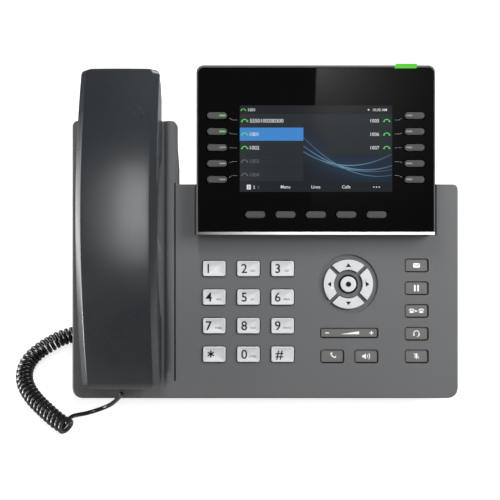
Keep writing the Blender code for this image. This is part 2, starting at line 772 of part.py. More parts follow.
def port_wall_top():
    """Place v where the level port wall meets the deep part of the rear cover."""
    length = (REAR_DEEP - REAR_THIN) / math.sin(TILT)
    return PORT_WALL_LOW + length * math.cos(TILT)


def port_wall_height():
    """Height of the level port wall over the desk."""
    return FACE_Z + PORT_WALL_LOW * math.sin(TILT) - REAR_THIN * math.cos(TILT)


def rear_profile(inset):
    """Side profile (v, n) of the rear cover: thin foot, level port wall, deep middle, taper."""
    slant = inset * math.tan((math.pi / 2 - TILT) / 2)
    back = inset * math.tan(TILT / 2)
    seam = -REAR_SEAM + (CUT_CLEAR if inset > 0 else 0.0)
    return [
        (REAR_LOW + inset, seam),
        (REAR_LOW + inset, -REAR_THIN + inset + REAR_EDGE),
        (REAR_LOW + inset + REAR_EDGE, -REAR_THIN + inset),
        (PORT_WALL_LOW + slant, -REAR_THIN + inset),
        (port_wall_top() + back + inset * 0.4, -REAR_DEEP + inset),
        (REAR_TAPER_LOW - inset * 0.4, -REAR_DEEP + inset),
        (REAR_TOP - inset, -REAR_SEAM - REAR_EDGE),
        (REAR_TOP - inset, seam),
    ]


def rear_outline(inset):
    """Front outline of the rear cover: full width, with a column behind cradle and display."""
    column = CRADLE_RIGHT - REAR_STEP
    low = -REAR_OVERRUN if inset == 0 else REAR_LOW + inset
    top = REAR_TOP + REAR_OVERRUN if inset == 0 else REAR_TOP - inset
    shoulder = KEYPAD_TOP - REAR_STEP
    return rounded_outline([
        (-REAR_HALF + inset, low, REAR_EDGE),
        (REAR_HALF - inset, low, REAR_EDGE),
        (REAR_HALF - inset, shoulder - inset, REAR_EDGE),
        (DISPLAY_NECK_U[1] - inset, shoulder - inset, 0.0),
        (DISPLAY_NECK_U[1] - inset, top, REAR_EDGE),
        (DISPLAY_NECK_U[0] + inset, top, REAR_EDGE),
        (DISPLAY_NECK_U[0] + inset, shoulder - inset, 0.0),
        (column - inset, shoulder - inset, 0.0),
        (column - inset, top, REAR_EDGE),
        (-REAR_HALF + inset, top, REAR_EDGE),
    ])


def add_rear_cover(shop):
    """Rear shell, open to the front, with the port window, speaker grille and stand slots."""
    mesh = across_mesh("rear_cover", rear_profile(0.0), -REAR_HALF, REAR_HALF)
    cover = shop.part("rear_cover", mesh, "dark_plastic")
    plan = slab_mesh("rear_plan", rear_outline(0.0), *REAR_PLAN_N)
    shop.join(cover, shop.tool("rear_plan", plan), "INTERSECT")
    inner = across_mesh("rear_hollow", rear_profile(REAR_WALL), -REAR_HALF, REAR_HALF)
    hollow = shop.tool("rear_hollow", inner)
    inner_plan = slab_mesh("rear_hollow_plan", rear_outline(REAR_WALL), *REAR_PLAN_N)
    shop.join(hollow, shop.tool("rear_hollow_plan", inner_plan), "INTERSECT")
    shop.join(cover, hollow)
    level = port_wall_height()
    window = rectangle(
        JACK_BLOCK_X[0] - GAP, JACK_BLOCK_X[1] + GAP, JACK_BLOCK_Y[0] - GAP, JACK_BLOCK_Y[1] + GAP,
    )
    port = slab_mesh("port_window", window, level - CUT_CLEAR, level + REAR_WALL + CUT_CLEAR)
    shop.join(cover, shop.tool("port_window", port, frame=shop.desk))
    back = -REAR_DEEP - CUT_CLEAR
    through = -REAR_DEEP + REAR_WALL + CUT_CLEAR
    slots = []
    for index in range(GRILLE_SLOTS):
        v = SPEAKER_CENTRE[1] + (index - (GRILLE_SLOTS - 1) / 2) * GRILLE_PITCH
        outline = centred_rectangle(GRILLE_SLOT[1], GRILLE_SLOT[0], GRILLE_CORNER)
        slots.append(moved(slab_mesh("slot", outline, back, through), (SPEAKER_CENTRE[0], v, 0)))
    for u in (-PEG_U, PEG_U):
        for v in PEG_ROWS:
            outline = rectangle(
                u - PEG_SIDE / 2 - KEY_CLEARANCE, u + PEG_SIDE / 2 + KEY_CLEARANCE,
                v - PEG_SIDE / 2 - STAND_TRAVEL - KEY_CLEARANCE, v + PEG_SIDE / 2 + KEY_CLEARANCE,
            )
            slots.append(slab_mesh("slot", outline, back, through))
    shop.join(cover, shop.tool("rear_slots", merge_meshes("rear_slots", slots)))
    return cover


# ---------------------------------------------------------------- display

def display_key_places():
    """Keys set in the display window: name and centre."""
    places = []
    for side, u in zip(("left", "right"), LINE_KEY_U):
        for number, v in enumerate(LINE_KEY_ROWS, start=1):
            places.append((f"line_key_{side}_{number}", (u, v)))
    for number in range(5):
        u = SOFT_KEY_FIRST_U + number * SOFT_KEY_PITCH
        places.append((f"soft_key_{number + 1}", (u, SOFT_KEY_V)))
    return places


def add_display(shop):
    """Display housing, its window with the key holes, the screen module and the lamp."""
    low_u, high_u = DISPLAY_U
    low_v, high_v = DISPLAY_V
    outline = rounded_outline([
        (low_u, low_v, DISPLAY_FOOT_CORNER),
        (high_u, low_v, DISPLAY_FOOT_CORNER),
        (high_u, high_v, DISPLAY_CORNER),
        (low_u, high_v, DISPLAY_CORNER),
    ], steps=5)
    mesh = slab_mesh("display_housing", outline, DISPLAY_BACK, DISPLAY_FRONT, EDGE_BEVEL)
    housing = shop.part("display_housing", mesh, "housing_plastic")
    neck = rectangle(*DISPLAY_NECK_U, *DISPLAY_NECK_V, NECK_CORNER)
    neck_mesh = slab_mesh("display_neck", neck, -SKIRT_DEPTH, DISPLAY_BACK + CUT_CLEAR)
    shop.join(housing, shop.tool("display_neck", neck_mesh), "UNION")
    cavity = rectangle(
        low_u + DISPLAY_WALL, high_u - DISPLAY_WALL,
        low_v + DISPLAY_RAIL, high_v - DISPLAY_RAIL, SCREEN_ROOM_CORNER,
    )
    seat = rounded_outline([
        (WINDOW_U[0] - GAP, WINDOW_V[0] - GAP, 0.0),
        (WINDOW_U[1] + GAP, WINDOW_V[0] - GAP, 0.0),
        (WINDOW_U[1] + GAP, WINDOW_V[1] + GAP, WINDOW_CORNER + GAP),
        (WINDOW_U[0] - GAP, WINDOW_V[1] + GAP, WINDOW_CORNER + GAP),
    ], steps=5)
    above = DISPLAY_FRONT + CUT_CLEAR
    shop.join(housing, shop.tool("window_seat", slab_mesh("window_seat", seat, WINDOW_BACK - GAP, above)))
    shop.join(housing, shop.tool("screen_room", slab_mesh("screen_room", cavity, DISPLAY_FLOOR, above)))
    hollow = rectangle(
        DISPLAY_NECK_U[0] + DISPLAY_WALL, DISPLAY_NECK_U[1] - DISPLAY_WALL,
        DISPLAY_NECK_V[0] + DISPLAY_WALL, DISPLAY_NECK_V[1] - DISPLAY_WALL,
    )
    neck_room = slab_mesh("neck_room", hollow, -SKIRT_DEPTH - CUT_CLEAR, DISPLAY_BACK)
    shop.join(housing, shop.tool("neck_room", neck_room))
    lamp_gap = rectangle(LAMP_U[0] - GAP, LAMP_U[1] + GAP, LAMP_V[0] - GAP, LAMP_V[1] + CUT_CLEAR)
    lamp_room = slab_mesh("lamp_room", lamp_gap, LAMP_N[0] - GAP, above)
    shop.join(housing, shop.tool("lamp_room", lamp_room))
    add_display_window(shop)
    lcd = slab_mesh("lcd_module", rectangle(*LCD_U, *LCD_V, LCD_CORNER), *LCD_N)
    shop.part("lcd_module", lcd, "screen")
    lamp = slab_mesh("message_lamp", rectangle(*LAMP_U, *LAMP_V, LAMP_CORNER), *LAMP_N, EDGE_BEVEL)
    shop.part("message_lamp", lamp, "lamp")


def add_display_window(shop):
    """Glossy window plate with a hole for each of its keys."""
    outline = rounded_outline([
        (WINDOW_U[0], WINDOW_V[0], 0.0),
        (WINDOW_U[1], WINDOW_V[0], 0.0),
        (WINDOW_U[1], WINDOW_V[1], WINDOW_CORNER),
        (WINDOW_U[0], WINDOW_V[1], WINDOW_CORNER),
    ], steps=5)
    notch = rectangle(
        LAMP_U[0] - 2 * GAP, LAMP_U[1] + 2 * GAP, LAMP_V[0] - 2 * GAP, LAMP_V[1] + CUT_CLEAR,
    )
    mesh = slab_mesh("display_window", outline, WINDOW_BACK, WINDOW_FRONT, WINDOW_BEVEL)
    window = shop.part("display_window", mesh, "window_glass")
    low = WINDOW_BACK - CUT_CLEAR
    high = WINDOW_FRONT + CUT_CLEAR
    holes = [slab_mesh("hole", notch, low, high)]
    for _, centre in display_key_places():
        outline = centred_rectangle(*LINE_SIZE, grow=KEY_CLEARANCE)
        holes.append(moved(slab_mesh("hole", outline, low, high), (*centre, 0)))
    shop.join(window, shop.tool("window_holes", merge_meshes("window_holes", holes)))


# ---------------------------------------------------------------- keys

def add_keys(shop):
    """Every key as its own flanged cap, on its own press axis."""
    meshes = {}
    for name, centre, size, top, material in key_places():
        if size not in meshes:
            cap = centred_rectangle(*size)
            flange = centred_rectangle(*size, grow=KEY_FLANGE)
            meshes[size] = flanged_mesh(
                material, cap, flange, top, KEY_LEDGE, KEY_BOTTOM, KEY_BEVEL,
            )
        shop.part(name, meshes[size], material, (*centre, 0))
    cap = centred_rectangle(*LINE_SIZE)
    flange = centred_rectangle(*LINE_SIZE, grow=KEY_FLANGE)
    display_key = flanged_mesh(
        "display_key", cap, flange,
        DISPLAY_KEY_TOP, DISPLAY_KEY_LEDGE, DISPLAY_KEY_BOTTOM, EDGE_BEVEL,
    )
    for name, centre in display_key_places():
        shop.part(name, display_key, "grey_keys", (*centre, 0))
    add_navigation_keys(shop)
    cap = centred_rectangle(*ROCKER_SIZE)
    flange = centred_rectangle(*ROCKER_SIZE, grow=KEY_FLANGE)
    rocker = flanged_mesh(
        "volume_rocker", cap, flange, FUNCTION_TOP, ROCKER_LEDGE, ROCKER_BOTTOM, KEY_BEVEL,
    )
    moved(rocker, (0, 0, -ROCKER_AXIS_N))
    shop.part("volume_rocker", rocker, "grey_keys", (*ROCKER_CENTRE, ROCKER_AXIS_N))


def add_navigation_keys(shop):
    """Four quarter-ring keys and the round key inside them."""
    for quarter, side in enumerate(("right", "up", "left", "down")):
        facing = quarter * math.pi / 2
        cap = ring_sector(facing, NAV_INNER, NAV_OUTER, NAV_SPLIT)
        flange = ring_sector(facing, NAV_INNER - NAV_FLANGE, NAV_OUTER + KEY_FLANGE, NAV_FLANGE_SPLIT)
        mesh = flanged_mesh("nav_" + side, cap, flange, NAV_TOP, KEY_LEDGE, KEY_BOTTOM, EDGE_BEVEL)
        shop.part("nav_" + side, mesh, "silver_keys", (*NAV_CENTRE, 0))
    cap = circle((0, 0), OK_RADIUS, 20)
    flange = circle((0, 0), OK_FLANGE_RADIUS, 20)
    mesh = flanged_mesh("nav_ok", cap, flange, NAV_TOP, KEY_LEDGE, KEY_BOTTOM, EDGE_BEVEL)
    shop.part("nav_ok", mesh, "silver_keys", (*NAV_CENTRE, 0))


# ---------------------------------------------------------------- handset

def handset_front(v):
    """Height of the handset's front face over the cradle at a place along it."""
    if v < ARCH_PEAK_V:
        return ARCH_PEAK_N - ARCH_DROP_LOW * ((ARCH_PEAK_V - v) / (ARCH_PEAK_V - HANDSET_V[0])) ** 2
    return ARCH_PEAK_N - ARCH_DROP_HIGH * ((v - ARCH_PEAK_V) / (HANDSET_V[1] - ARCH_PEAK_V)) ** 2


def arch_line(low_v, high_v, drop, steps=12):
    """Points (v, n) that run along the front face at a depth below it."""
    points = []
    for step in range(steps + 1):
        v = low_v + (high_v - low_v) * step / steps
        points.append((v, handset_front(v) - drop))
    return points


def handset_underside():
    """Side profile of the handset's inner face, from the mouth end to the ear end."""
    return [
        HANDSET_TIPS[0],
        *HANDSET_ARCH,
        HANDSET_TIPS[1],
    ]


def add_handset(shop):
    """Outer and inner shells, parted along a line that follows the arch."""
    low, high = HANDSET_V
    left = HANDSET_U - HANDSET_HALF
    right = HANDSET_U + HANDSET_HALF
    top_line = arch_line(low, high, 0.0)
    outer_profile = top_line + arch_line(low + EDGE_BEVEL, high - EDGE_BEVEL, OUTER_SHELL_DEPTH)[::-1]
    mesh = across_mesh("handset_outer_shell", outer_profile, left, right)
    bevel_front_edges(mesh, left, right)
    outer = shop.part("handset_outer_shell", mesh, "handset_plastic")
    hollow = arch_line(low + SHELL_WALL, high - SHELL_WALL, SHELL_WALL)
    hollow += arch_line(low + SHELL_WALL, high - SHELL_WALL, OUTER_ROOM_DEPTH)[::-1]
    room = across_mesh("outer_shell_room", hollow, left + OUTER_ROOM_SIDE, right - OUTER_ROOM_SIDE)
    shop.join(outer, shop.tool("outer_shell_room", room))
    seam = arch_line(low + SEAM_INSET, high - SEAM_INSET, OUTER_SHELL_DEPTH + GAP)
    seam = seam[::-1] + handset_underside()
    mesh = across_mesh("handset_inner_shell", seam, left + GAP, right - GAP)
    inner = shop.part("handset_inner_shell", mesh, "handset_plastic")
    bosses = []
    for span in (EAR_BOSS, MOUTH_BOSS):
        outline = rectangle(HANDSET_U - BOSS_HALF, HANDSET_U + BOSS_HALF, *span, BOSS_CORNER)
        bosses.append(slab_mesh("boss", outline, BOSS_BOTTOM, BOSS_TOP))
    shop.join(inner, shop.tool("handset_bosses", merge_meshes("handset_bosses", bosses)), "UNION")
    above = arch_line(low + SHELL_WALL, high - SHELL_WALL - CUT_CLEAR, BOSS_TOP)
    floor = [(v, n + SHELL_WALL) for v, n in handset_underside()]
    floor[0] = (low + CUT_CLEAR + SHELL_WALL, floor[0][1])
    floor[-1] = (high - 2 * CUT_CLEAR - SHELL_WALL, floor[-1][1])
    side = GAP + SHELL_WALL
    room = across_mesh("inner_shell_room", above[::-1] + floor, left + side, right - side)
    shop.join(inner, shop.tool("inner_shell_room", room))
    across = PLUG_HALF + SOCKET_CLEAR
    tall = PLUG_HALF_HEIGHT + SOCKET_CLEAR
    socket = rectangle(PLUG_U - across, PLUG_U + across, PLUG_N - tall, PLUG_N + tall)
    turned = slab_mesh("handset_socket", socket, -(low + SOCKET_DEPTH), CUT_CLEAR * 4 - low)
    turned.transform(Matrix.Rotation(math.pi / 2, 4, "X"))
    shop.join(inner, shop.tool("handset_socket", turned))
    add_handset_plug(shop)


def bevel_front_edges(mesh, left, right):
    """Chamfer the two long front edges of the outer shell."""
    solid = bmesh.new()
    solid.from_mesh(mesh)
    edges = []
    for edge in solid.edges:
        ends = [vert.co for vert in edge.verts]
        on_front = all(abs(end.z - handset_front(end.y)) < 0.01 * MM for end in ends)
        on_side = any(all(abs(end.x - side) < 0.01 * MM for end in ends) for side in (left, right))
        if on_front and on_side:
            edges.append(edge)
    bmesh.ops.bevel(solid, geom=edges, offset=HANDSET_BEVEL, segments=1, affect="EDGES")
    bmesh.ops.recalc_face_normals(solid, faces=solid.faces)
    solid.to_mesh(mesh)
    solid.free()


def add_handset_plug(shop):
    """Small modular plug in the handset's lower end, with a round collar for the cord."""
    low = HANDSET_V[0]
    body = rectangle(
        PLUG_U - PLUG_HALF, PLUG_U + PLUG_HALF, PLUG_N - PLUG_HALF_HEIGHT, PLUG_N + PLUG_HALF_HEIGHT,
    )
    mesh = slab_mesh("handset_plug", body, -(low + PLUG_REACH), PLUG_PROUD - low)
    mesh.transform(Matrix.Rotation(math.pi / 2, 4, "X"))
    plug = shop.part("handset_plug", mesh, "clear_plug")
    ring = circle((PLUG_U, PLUG_N), COLLAR_RADIUS, 16)
    collar = slab_mesh("plug_collar", ring, -low, COLLAR_LENGTH - low)
    collar.transform(Matrix.Rotation(math.pi / 2, 4, "X"))
    shop.join(plug, shop.tool("plug_collar", collar), "UNION")


def add_cradle_pieces(shop):
    """Hook switch plunger and the reversible tab that holds the handset on a wall."""
    plunger = slab_mesh(
        "hook_switch", centred_rectangle(*HOOK_SIZE, SMALL_CORNER), *HOOK_N,
    )
    shop.part("hook_switch", plunger, "dark_plastic", (HANDSET_U, HOOK_V, 0))
    tab = slab_mesh("handset_rest_tab", centred_rectangle(*TAB_SIZE, SMALL_CORNER), -TAB_DEPTH, TAB_TOP)
    shop.part("handset_rest_tab", tab, "grey_plastic", (HANDSET_U, TAB_V, 0))


# ---------------------------------------------------------------- inner parts, jacks, stand

def add_inner_parts(shop):
    """Main circuit board and loudspeaker inside the covers."""
    board = slab_mesh("main_board", rectangle(*BOARD_U, *BOARD_V, BOARD_CORNER), *BOARD_N)
    shop.part("main_board", board, "board_green")
    speaker = slab_mesh("loudspeaker", circle(SPEAKER_CENTRE, SPEAKER_RADIUS, 28), *SPEAKER_N)
    shop.part("loudspeaker", speaker, "jack_black")


def add_jack_block(shop):
    """Block of modular jacks and the power inlet, open downwards in the port wall."""
    level = port_wall_height() + GAP
    outline = rectangle(*JACK_BLOCK_X, *JACK_BLOCK_Y)
    mesh = slab_mesh("jack_block", outline, level, JACK_BLOCK_TOP)
    block = shop.part("jack_block", mesh, "jack_black", frame=shop.desk)
    mouths = []
    for x, width, height in JACKS:
        mouth = rectangle(x - width / 2, x + width / 2, JACK_Y - height / 2, JACK_Y + height / 2)
        mouths.append(slab_mesh("mouth", mouth, level - CUT_CLEAR, level + JACK_DEPTH))
    shop.join(block, shop.tool("jack_mouths", merge_meshes("jack_mouths", mouths), frame=shop.desk))
    x = JACKS[0][0]
    half, tall = BASE_PLUG_HALF
    body = rectangle(x - half, x + half, JACK_Y - tall, JACK_Y + tall)
    plug = slab_mesh("base_plug", body, BASE_PLUG_LOW, level + JACK_DEPTH - GAP)
    shop.part("base_plug", plug, "clear_plug", frame=shop.desk)


def face_to_desk(v, n):
    """Point (y, z) in the desk frame of a point (v, n) of the sloping face."""
    return (
        v * math.cos(TILT) - n * math.sin(TILT),
        FACE_Z + v * math.sin(TILT) + n * math.cos(TILT),
    )


def add_footstand(shop):
    """Stand that hooks on the back and carries the rear of the phone."""
    near = -REAR_DEEP - GAP
    far = near - STAND_PLATE
    low_v, high_v = STAND_V
    foot = STAND_FOOT_Y
    leg = [
        face_to_desk(low_v, near),
        face_to_desk(low_v, far),
        face_to_desk(high_v + STAND_KNEE[0], far),
        *[(foot + back, height) for back, height in STAND_SOLE],
        face_to_desk(high_v + STAND_KNEE[1], far),
        face_to_desk(high_v, near),
    ]
    mesh = across_mesh("footstand", leg, -STAND_HALF, STAND_HALF)
    stand = shop.part("footstand", mesh, "dark_plastic", frame=shop.desk)
    rib = [
        face_to_desk(low_v + RIB_START[0], far + RIB_SINK),
        face_to_desk(low_v + RIB_START[1], far - RIB_RISE),
        *[(foot + back, height) for back, height in RIB_SOLE],
        face_to_desk(high_v - RIB_START[0], far + RIB_SINK),
    ]
    ribs = []
    for x in (-STAND_HALF + RIB_INSET, STAND_HALF - STAND_RIB - RIB_INSET):
        ribs.append(across_mesh("rib", rib, x, x + STAND_RIB))
    shop.join(stand, shop.tool("stand_ribs", merge_meshes("stand_ribs", ribs), frame=shop.desk), "UNION")
    pegs = []
    for u in (-PEG_U, PEG_U):
        for v in PEG_ROWS:
            outline = rectangle(u - PEG_SIDE / 2, u + PEG_SIDE / 2, v - PEG_SIDE / 2, v + PEG_SIDE / 2)
            pegs.append(slab_mesh("peg", outline, near - PEG_ROOT, near + PEG_REACH))
    shop.join(stand, shop.tool("stand_pegs", merge_meshes("stand_pegs", pegs)), "UNION")


def add_front_foot(shop):
    """Rubber strip under the lower back edge of the rear cover."""
    top = -REAR_THIN - GAP
    low, middle, high = FOOT_V
    desk_at = [(v, -(FACE_Z + v * math.sin(TILT)) / math.cos(TILT)) for v in (low, middle)]
    profile = [(low, top), desk_at[0], desk_at[1], (high, top)]
    mesh = across_mesh("front_foot", profile, -FOOT_HALF, FOOT_HALF)
    shop.part("front_foot", mesh, "rubber")


# ---------------------------------------------------------------- cord

def add_cord(shop):
    """Plain solids of the handset cord: fat tube for the curl and thin leads at its ends."""
    coil = tube_mesh("handset_cord_coil", COIL_ROUTE, COIL_RADIUS, 3, 2)
    shop.part("handset_cord_coil", coil, "cord", frame=shop.desk)
    lead = tube_mesh("handset_cord_lead", HANDSET_LEAD_ROUTE, CORD_RADIUS, 2, 2)
    shop.part("handset_cord_lead", lead, "cord", frame=shop.desk)
    lead = tube_mesh("base_cord_lead", BASE_LEAD_ROUTE, CORD_RADIUS, 2, 3)
    shop.part("base_cord_lead", lead, "cord", frame=shop.desk)


def main():
    """Build the whole phone."""
    clear_scene()
    shop = Workshop()
    add_materials(shop)
    add_front_cover(shop)
    add_rear_cover(shop)
    add_display(shop)
    add_keys(shop)
    add_handset(shop)
    add_cradle_pieces(shop)
    add_inner_parts(shop)
    add_jack_block(shop)
    add_footstand(shop)
    add_front_foot(shop)
    add_cord(shop)


main()
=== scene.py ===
"""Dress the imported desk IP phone: fine surfaces, finishes, lit screen, curly cord, studio."""

import json
import logging
import math
from collections.abc import Callable
from dataclasses import dataclass
from enum import Enum

import bmesh
import bpy
import numpy as np
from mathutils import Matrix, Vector

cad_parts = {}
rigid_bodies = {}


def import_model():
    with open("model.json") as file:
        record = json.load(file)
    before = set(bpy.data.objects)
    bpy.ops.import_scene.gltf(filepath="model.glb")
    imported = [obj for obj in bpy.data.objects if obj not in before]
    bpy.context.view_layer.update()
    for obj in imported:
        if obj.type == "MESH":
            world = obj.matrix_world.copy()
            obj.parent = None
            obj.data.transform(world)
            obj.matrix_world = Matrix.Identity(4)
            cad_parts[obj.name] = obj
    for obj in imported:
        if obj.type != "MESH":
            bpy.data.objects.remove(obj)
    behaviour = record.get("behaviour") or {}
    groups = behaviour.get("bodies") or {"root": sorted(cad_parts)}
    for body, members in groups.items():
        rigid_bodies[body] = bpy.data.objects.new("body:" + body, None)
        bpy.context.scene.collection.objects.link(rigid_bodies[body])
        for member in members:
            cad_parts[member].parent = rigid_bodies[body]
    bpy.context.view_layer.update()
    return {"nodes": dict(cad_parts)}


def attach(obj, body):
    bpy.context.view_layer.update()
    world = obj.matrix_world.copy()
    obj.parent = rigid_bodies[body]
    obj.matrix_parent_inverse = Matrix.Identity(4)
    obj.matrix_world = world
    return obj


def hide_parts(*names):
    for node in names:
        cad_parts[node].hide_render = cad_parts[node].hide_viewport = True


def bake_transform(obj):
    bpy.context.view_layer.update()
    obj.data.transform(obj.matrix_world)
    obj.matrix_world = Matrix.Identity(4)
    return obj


for startup_item in list(bpy.data.objects):
    bpy.data.objects.remove(startup_item, do_unlink=True)
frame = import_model()

LOG = logging.getLogger("desk_phone")
MM = 0.001
TILT = math.radians(42.0)
FACE_ORIGIN = (0.0, -73.04, 13.8)

Outline = np.ndarray
Faces = list[tuple[int, ...]]
Skin = tuple[np.ndarray, Faces]
Place = tuple[float, float, float]

# Heights above the display window or above the top of a key, in millimetres.
FILM_LIFT = 0.03
BAR_LIFT = 0.05
ROW_LIFT = 0.06
CHIP_LIFT = 0.07
INK_LIFT = 0.09

# Depth of the foot of a key cap below the face, and extra stroke of letters as a share of height.
CAP_FOOT = -2.6
STROKE = 0.012


class Space(Enum):
    """The two spaces that pieces are drawn in, both in millimetres."""

    FACE = "on the sloping face: u right, v up the face, n out of it"
    DESK = "on the desk: x right, y away from the user, z up"

    def to_world(self, points: np.ndarray) -> np.ndarray:
        """Turn points of this space into metres of the phone's own frame.

        The face space is turned by TILT about the x axis and moved to the face's lower edge.

        Args:
            points: array of shape (count, 3), in millimetres.

        Returns:
            Array of shape (count, 3), in metres.
        """
        points = np.asarray(points, dtype=float)
        if self is Space.DESK:
            return (points + np.array([0.0, FACE_ORIGIN[1], 0.0])) * MM
        cos, sin = math.cos(TILT), math.sin(TILT)
        u, v, n = points[:, 0], points[:, 1], points[:, 2]
        return np.stack([u, v * cos - n * sin, v * sin + n * cos], axis=1) * MM + np.array(FACE_ORIGIN) * MM

    @staticmethod
    def to_face(point: np.ndarray) -> tuple[float, float, float]:
        """Turn one point in metres of the phone's own frame into (u, v, n) on the face."""
        return Space.to_face_way(np.asarray(point, dtype=float) / MM - np.array(FACE_ORIGIN))

    @staticmethod
    def to_face_way(way: np.ndarray) -> tuple[float, float, float]:
        """Turn a direction of the phone's own frame into the face's directions."""
        x, y, z = way
        cos, sin = math.cos(TILT), math.sin(TILT)
        return x, y * cos + z * sin, z * cos - y * sin


# ------------------------------------------------------------------ shader wrapper

Number = float | int


class Value:
    """A number socket in a node tree; arithmetic on it adds Math nodes."""

    def __init__(self, tree: "Tree", socket: bpy.types.NodeSocket) -> None:
        """Wrap one output socket."""
        self.tree = tree
        self.socket = socket

    def math(self, operation: str, *others: "Value | Number", first: "Number | None" = None) -> "Value":
        """Add a Math node.

        Args:
            operation: name of the Math node's operation.
            others: the values after this one.
            first: a number that goes before this value, for reflected operators.

        Returns:
            The node's output.
        """
        terms = [self, *others] if first is None else [first, self]
        node = self.tree.node("ShaderNodeMath", {"operation": operation}, terms)
        return Value(self.tree, node.outputs[0])

    def __add__(self, other: "Value | Number") -> "Value":
        """Sum."""
        return self.math("ADD", other)

    __radd__ = __add__

    def __sub__(self, other: "Value | Number") -> "Value":
        """Difference."""
        return self.math("SUBTRACT", other)

    def __rsub__(self, other: Number) -> "Value":
        """Number minus value."""
        return self.math("SUBTRACT", first=other)

    def __mul__(self, other: "Value | Number") -> "Value":
        """Product."""
        return self.math("MULTIPLY", other)

    __rmul__ = __mul__

    def __truediv__(self, other: "Value | Number") -> "Value":
        """Quotient."""
        return self.math("DIVIDE", other)

    def __abs__(self) -> "Value":
        """Size without sign."""
        return self.math("ABSOLUTE")

    def __pow__(self, other: Number) -> "Value":
        """Power."""
        return self.math("POWER", other)

    def clamped(self) -> "Value":
        """The value held between 0 and 1."""
        node = self.tree.node("ShaderNodeClamp", {}, [self])
        return Value(self.tree, node.outputs[0])

    def top(self, other: "Value") -> "Value":
        """The larger of two values."""
        return self.math("MAXIMUM", other)


class Tree:
    """Node tree of one material round its Principled shader."""

    def __init__(self, name: str) -> None:
        """Start a material of that name."""
        self.material = bpy.data.materials.new(name)
        self.material.use_nodes = True
        self.nodes = self.material.node_tree.nodes
        self.links = self.material.node_tree.links
        self.shader = self.nodes["Principled BSDF"]

    def node(self, kind: str, settings: dict, sockets: "list | dict") -> bpy.types.Node:
        """Add a node.

        Args:
            kind: the node's type.
            settings: the node's own properties, set first.
            sockets: values or links of its inputs, by position or by name.

        Returns:
            The new node.
        """
        node = self.nodes.new(kind)
        for key, setting in settings.items():
            setattr(node, key, setting)
        pairs = sockets.items() if isinstance(sockets, dict) else enumerate(sockets)
        for key, value in pairs:
            self.feed(node.inputs[key], value)
        return node

    def feed(self, socket: bpy.types.NodeSocket, value: object) -> None:
        """Link a value to a socket, or set the socket's own number."""
        if isinstance(value, Value):
            self.links.new(value.socket, socket)
        elif isinstance(value, bpy.types.NodeSocket):
            self.links.new(value, socket)
        else:
            socket.default_value = value

    def drive(self, name: str, value: object) -> None:
        """Link a value to one of the shader's own sockets, or set its number."""
        self.feed(self.shader.inputs[name], value)

    def place(self) -> bpy.types.NodeSocket:
        """Object coordinates."""
        return self.node("ShaderNodeTexCoord", {}, {}).outputs["Object"]

    def uv(self) -> tuple[Value, Value]:
        """The two numbers of the piece's own UV map."""
        source = self.node("ShaderNodeTexCoord", {}, {}).outputs["UV"]
        split = self.node("ShaderNodeSeparateXYZ", {}, [source])
        return Value(self, split.outputs[0]), Value(self, split.outputs[1])

    def across(self) -> tuple[Value, Value]:
        """Object x and y, in metres."""
        split = self.node("ShaderNodeSeparateXYZ", {}, [self.place()])
        return Value(self, split.outputs[0]), Value(self, split.outputs[1])

    def noise(self, scale: float, detail: float = 2.0, roughness: float = 0.5) -> Value:
        """Noise over Object coordinates, from 0 to 1."""
        node = self.node(
            "ShaderNodeTexNoise", {},
            {"Vector": self.place(), "Scale": scale, "Detail": detail, "Roughness": roughness},
        )
        return Value(self, node.outputs[0])

    def blend(self, amount: Value, first: tuple, second: tuple) -> bpy.types.NodeSocket:
        """Colour that goes from first to second with amount."""
        return self.mix(amount, (*first, 1.0), (*second, 1.0))

    def mix(self, amount: Value, first: object, second: object) -> bpy.types.NodeSocket:
        """Mix of two colours, each four numbers or a socket."""
        sockets = {0: amount, 6: first, 7: second}
        return self.node("ShaderNodeMix", {"data_type": "RGBA"}, sockets).outputs[2]

    def bump(self, height: Value, strength: float, distance: float) -> None:
        """Feed a height into the shader's normal."""
        node = self.node("ShaderNodeBump", {}, {"Strength": strength, "Distance": distance, "Height": height})
        self.links.new(node.outputs[0], self.shader.inputs["Normal"])

    def constant(self, **values: object) -> None:
        """Set the shader's own sockets; an underscore stands for a space."""
        for key, value in values.items():
            self.shader.inputs[key.replace("_", " ")].default_value = value


# ------------------------------------------------------------------ finishes

@dataclass(frozen=True)
class MouldedPlastic:
    """Injection moulded or sprayed plastic with a fine spark texture and slight handling marks.

    Args:
        name: the material's name.
        colour: base colour.
        roughness: mean roughness.
        grain: strength of the fine texture.
        grain_scale: texture cells per metre.
        coat: clear coat weight.
        metallic: metallic share, for sprayed silver.
        drift: how far the colour drifts over the piece.
        gloss: specular level, 0.5 for common plastic.
    """

    name: str
    colour: tuple[float, float, float]
    roughness: float = 0.45
    grain: float = 0.25
    grain_scale: float = 2600.0
    coat: float = 0.0
    metallic: float = 0.0
    drift: float = 0.06
    gloss: float = 0.5

    def make(self) -> bpy.types.Material:
        """Build the material: drifting colour, uneven gloss and fine grain."""
        tree = Tree(self.name)
        cloud = tree.noise(14.0, 3.0)
        low = tuple(channel * (1 - self.drift) for channel in self.colour)
        high = tuple(channel * (1 + self.drift) for channel in self.colour)
        tree.drive("Base Color", tree.blend(cloud, low, high))
        smear = tree.noise(55.0, 4.0, 0.6)
        tree.drive("Roughness", (smear - 0.5) * 0.14 + self.roughness)
        tree.constant(
            Metallic=self.metallic, Coat_Weight=self.coat, Coat_Roughness=0.12, Specular_IOR_Level=self.gloss,
        )
        tree.bump(tree.noise(self.grain_scale, 1.0), self.grain, 0.00004)
        return tree.material


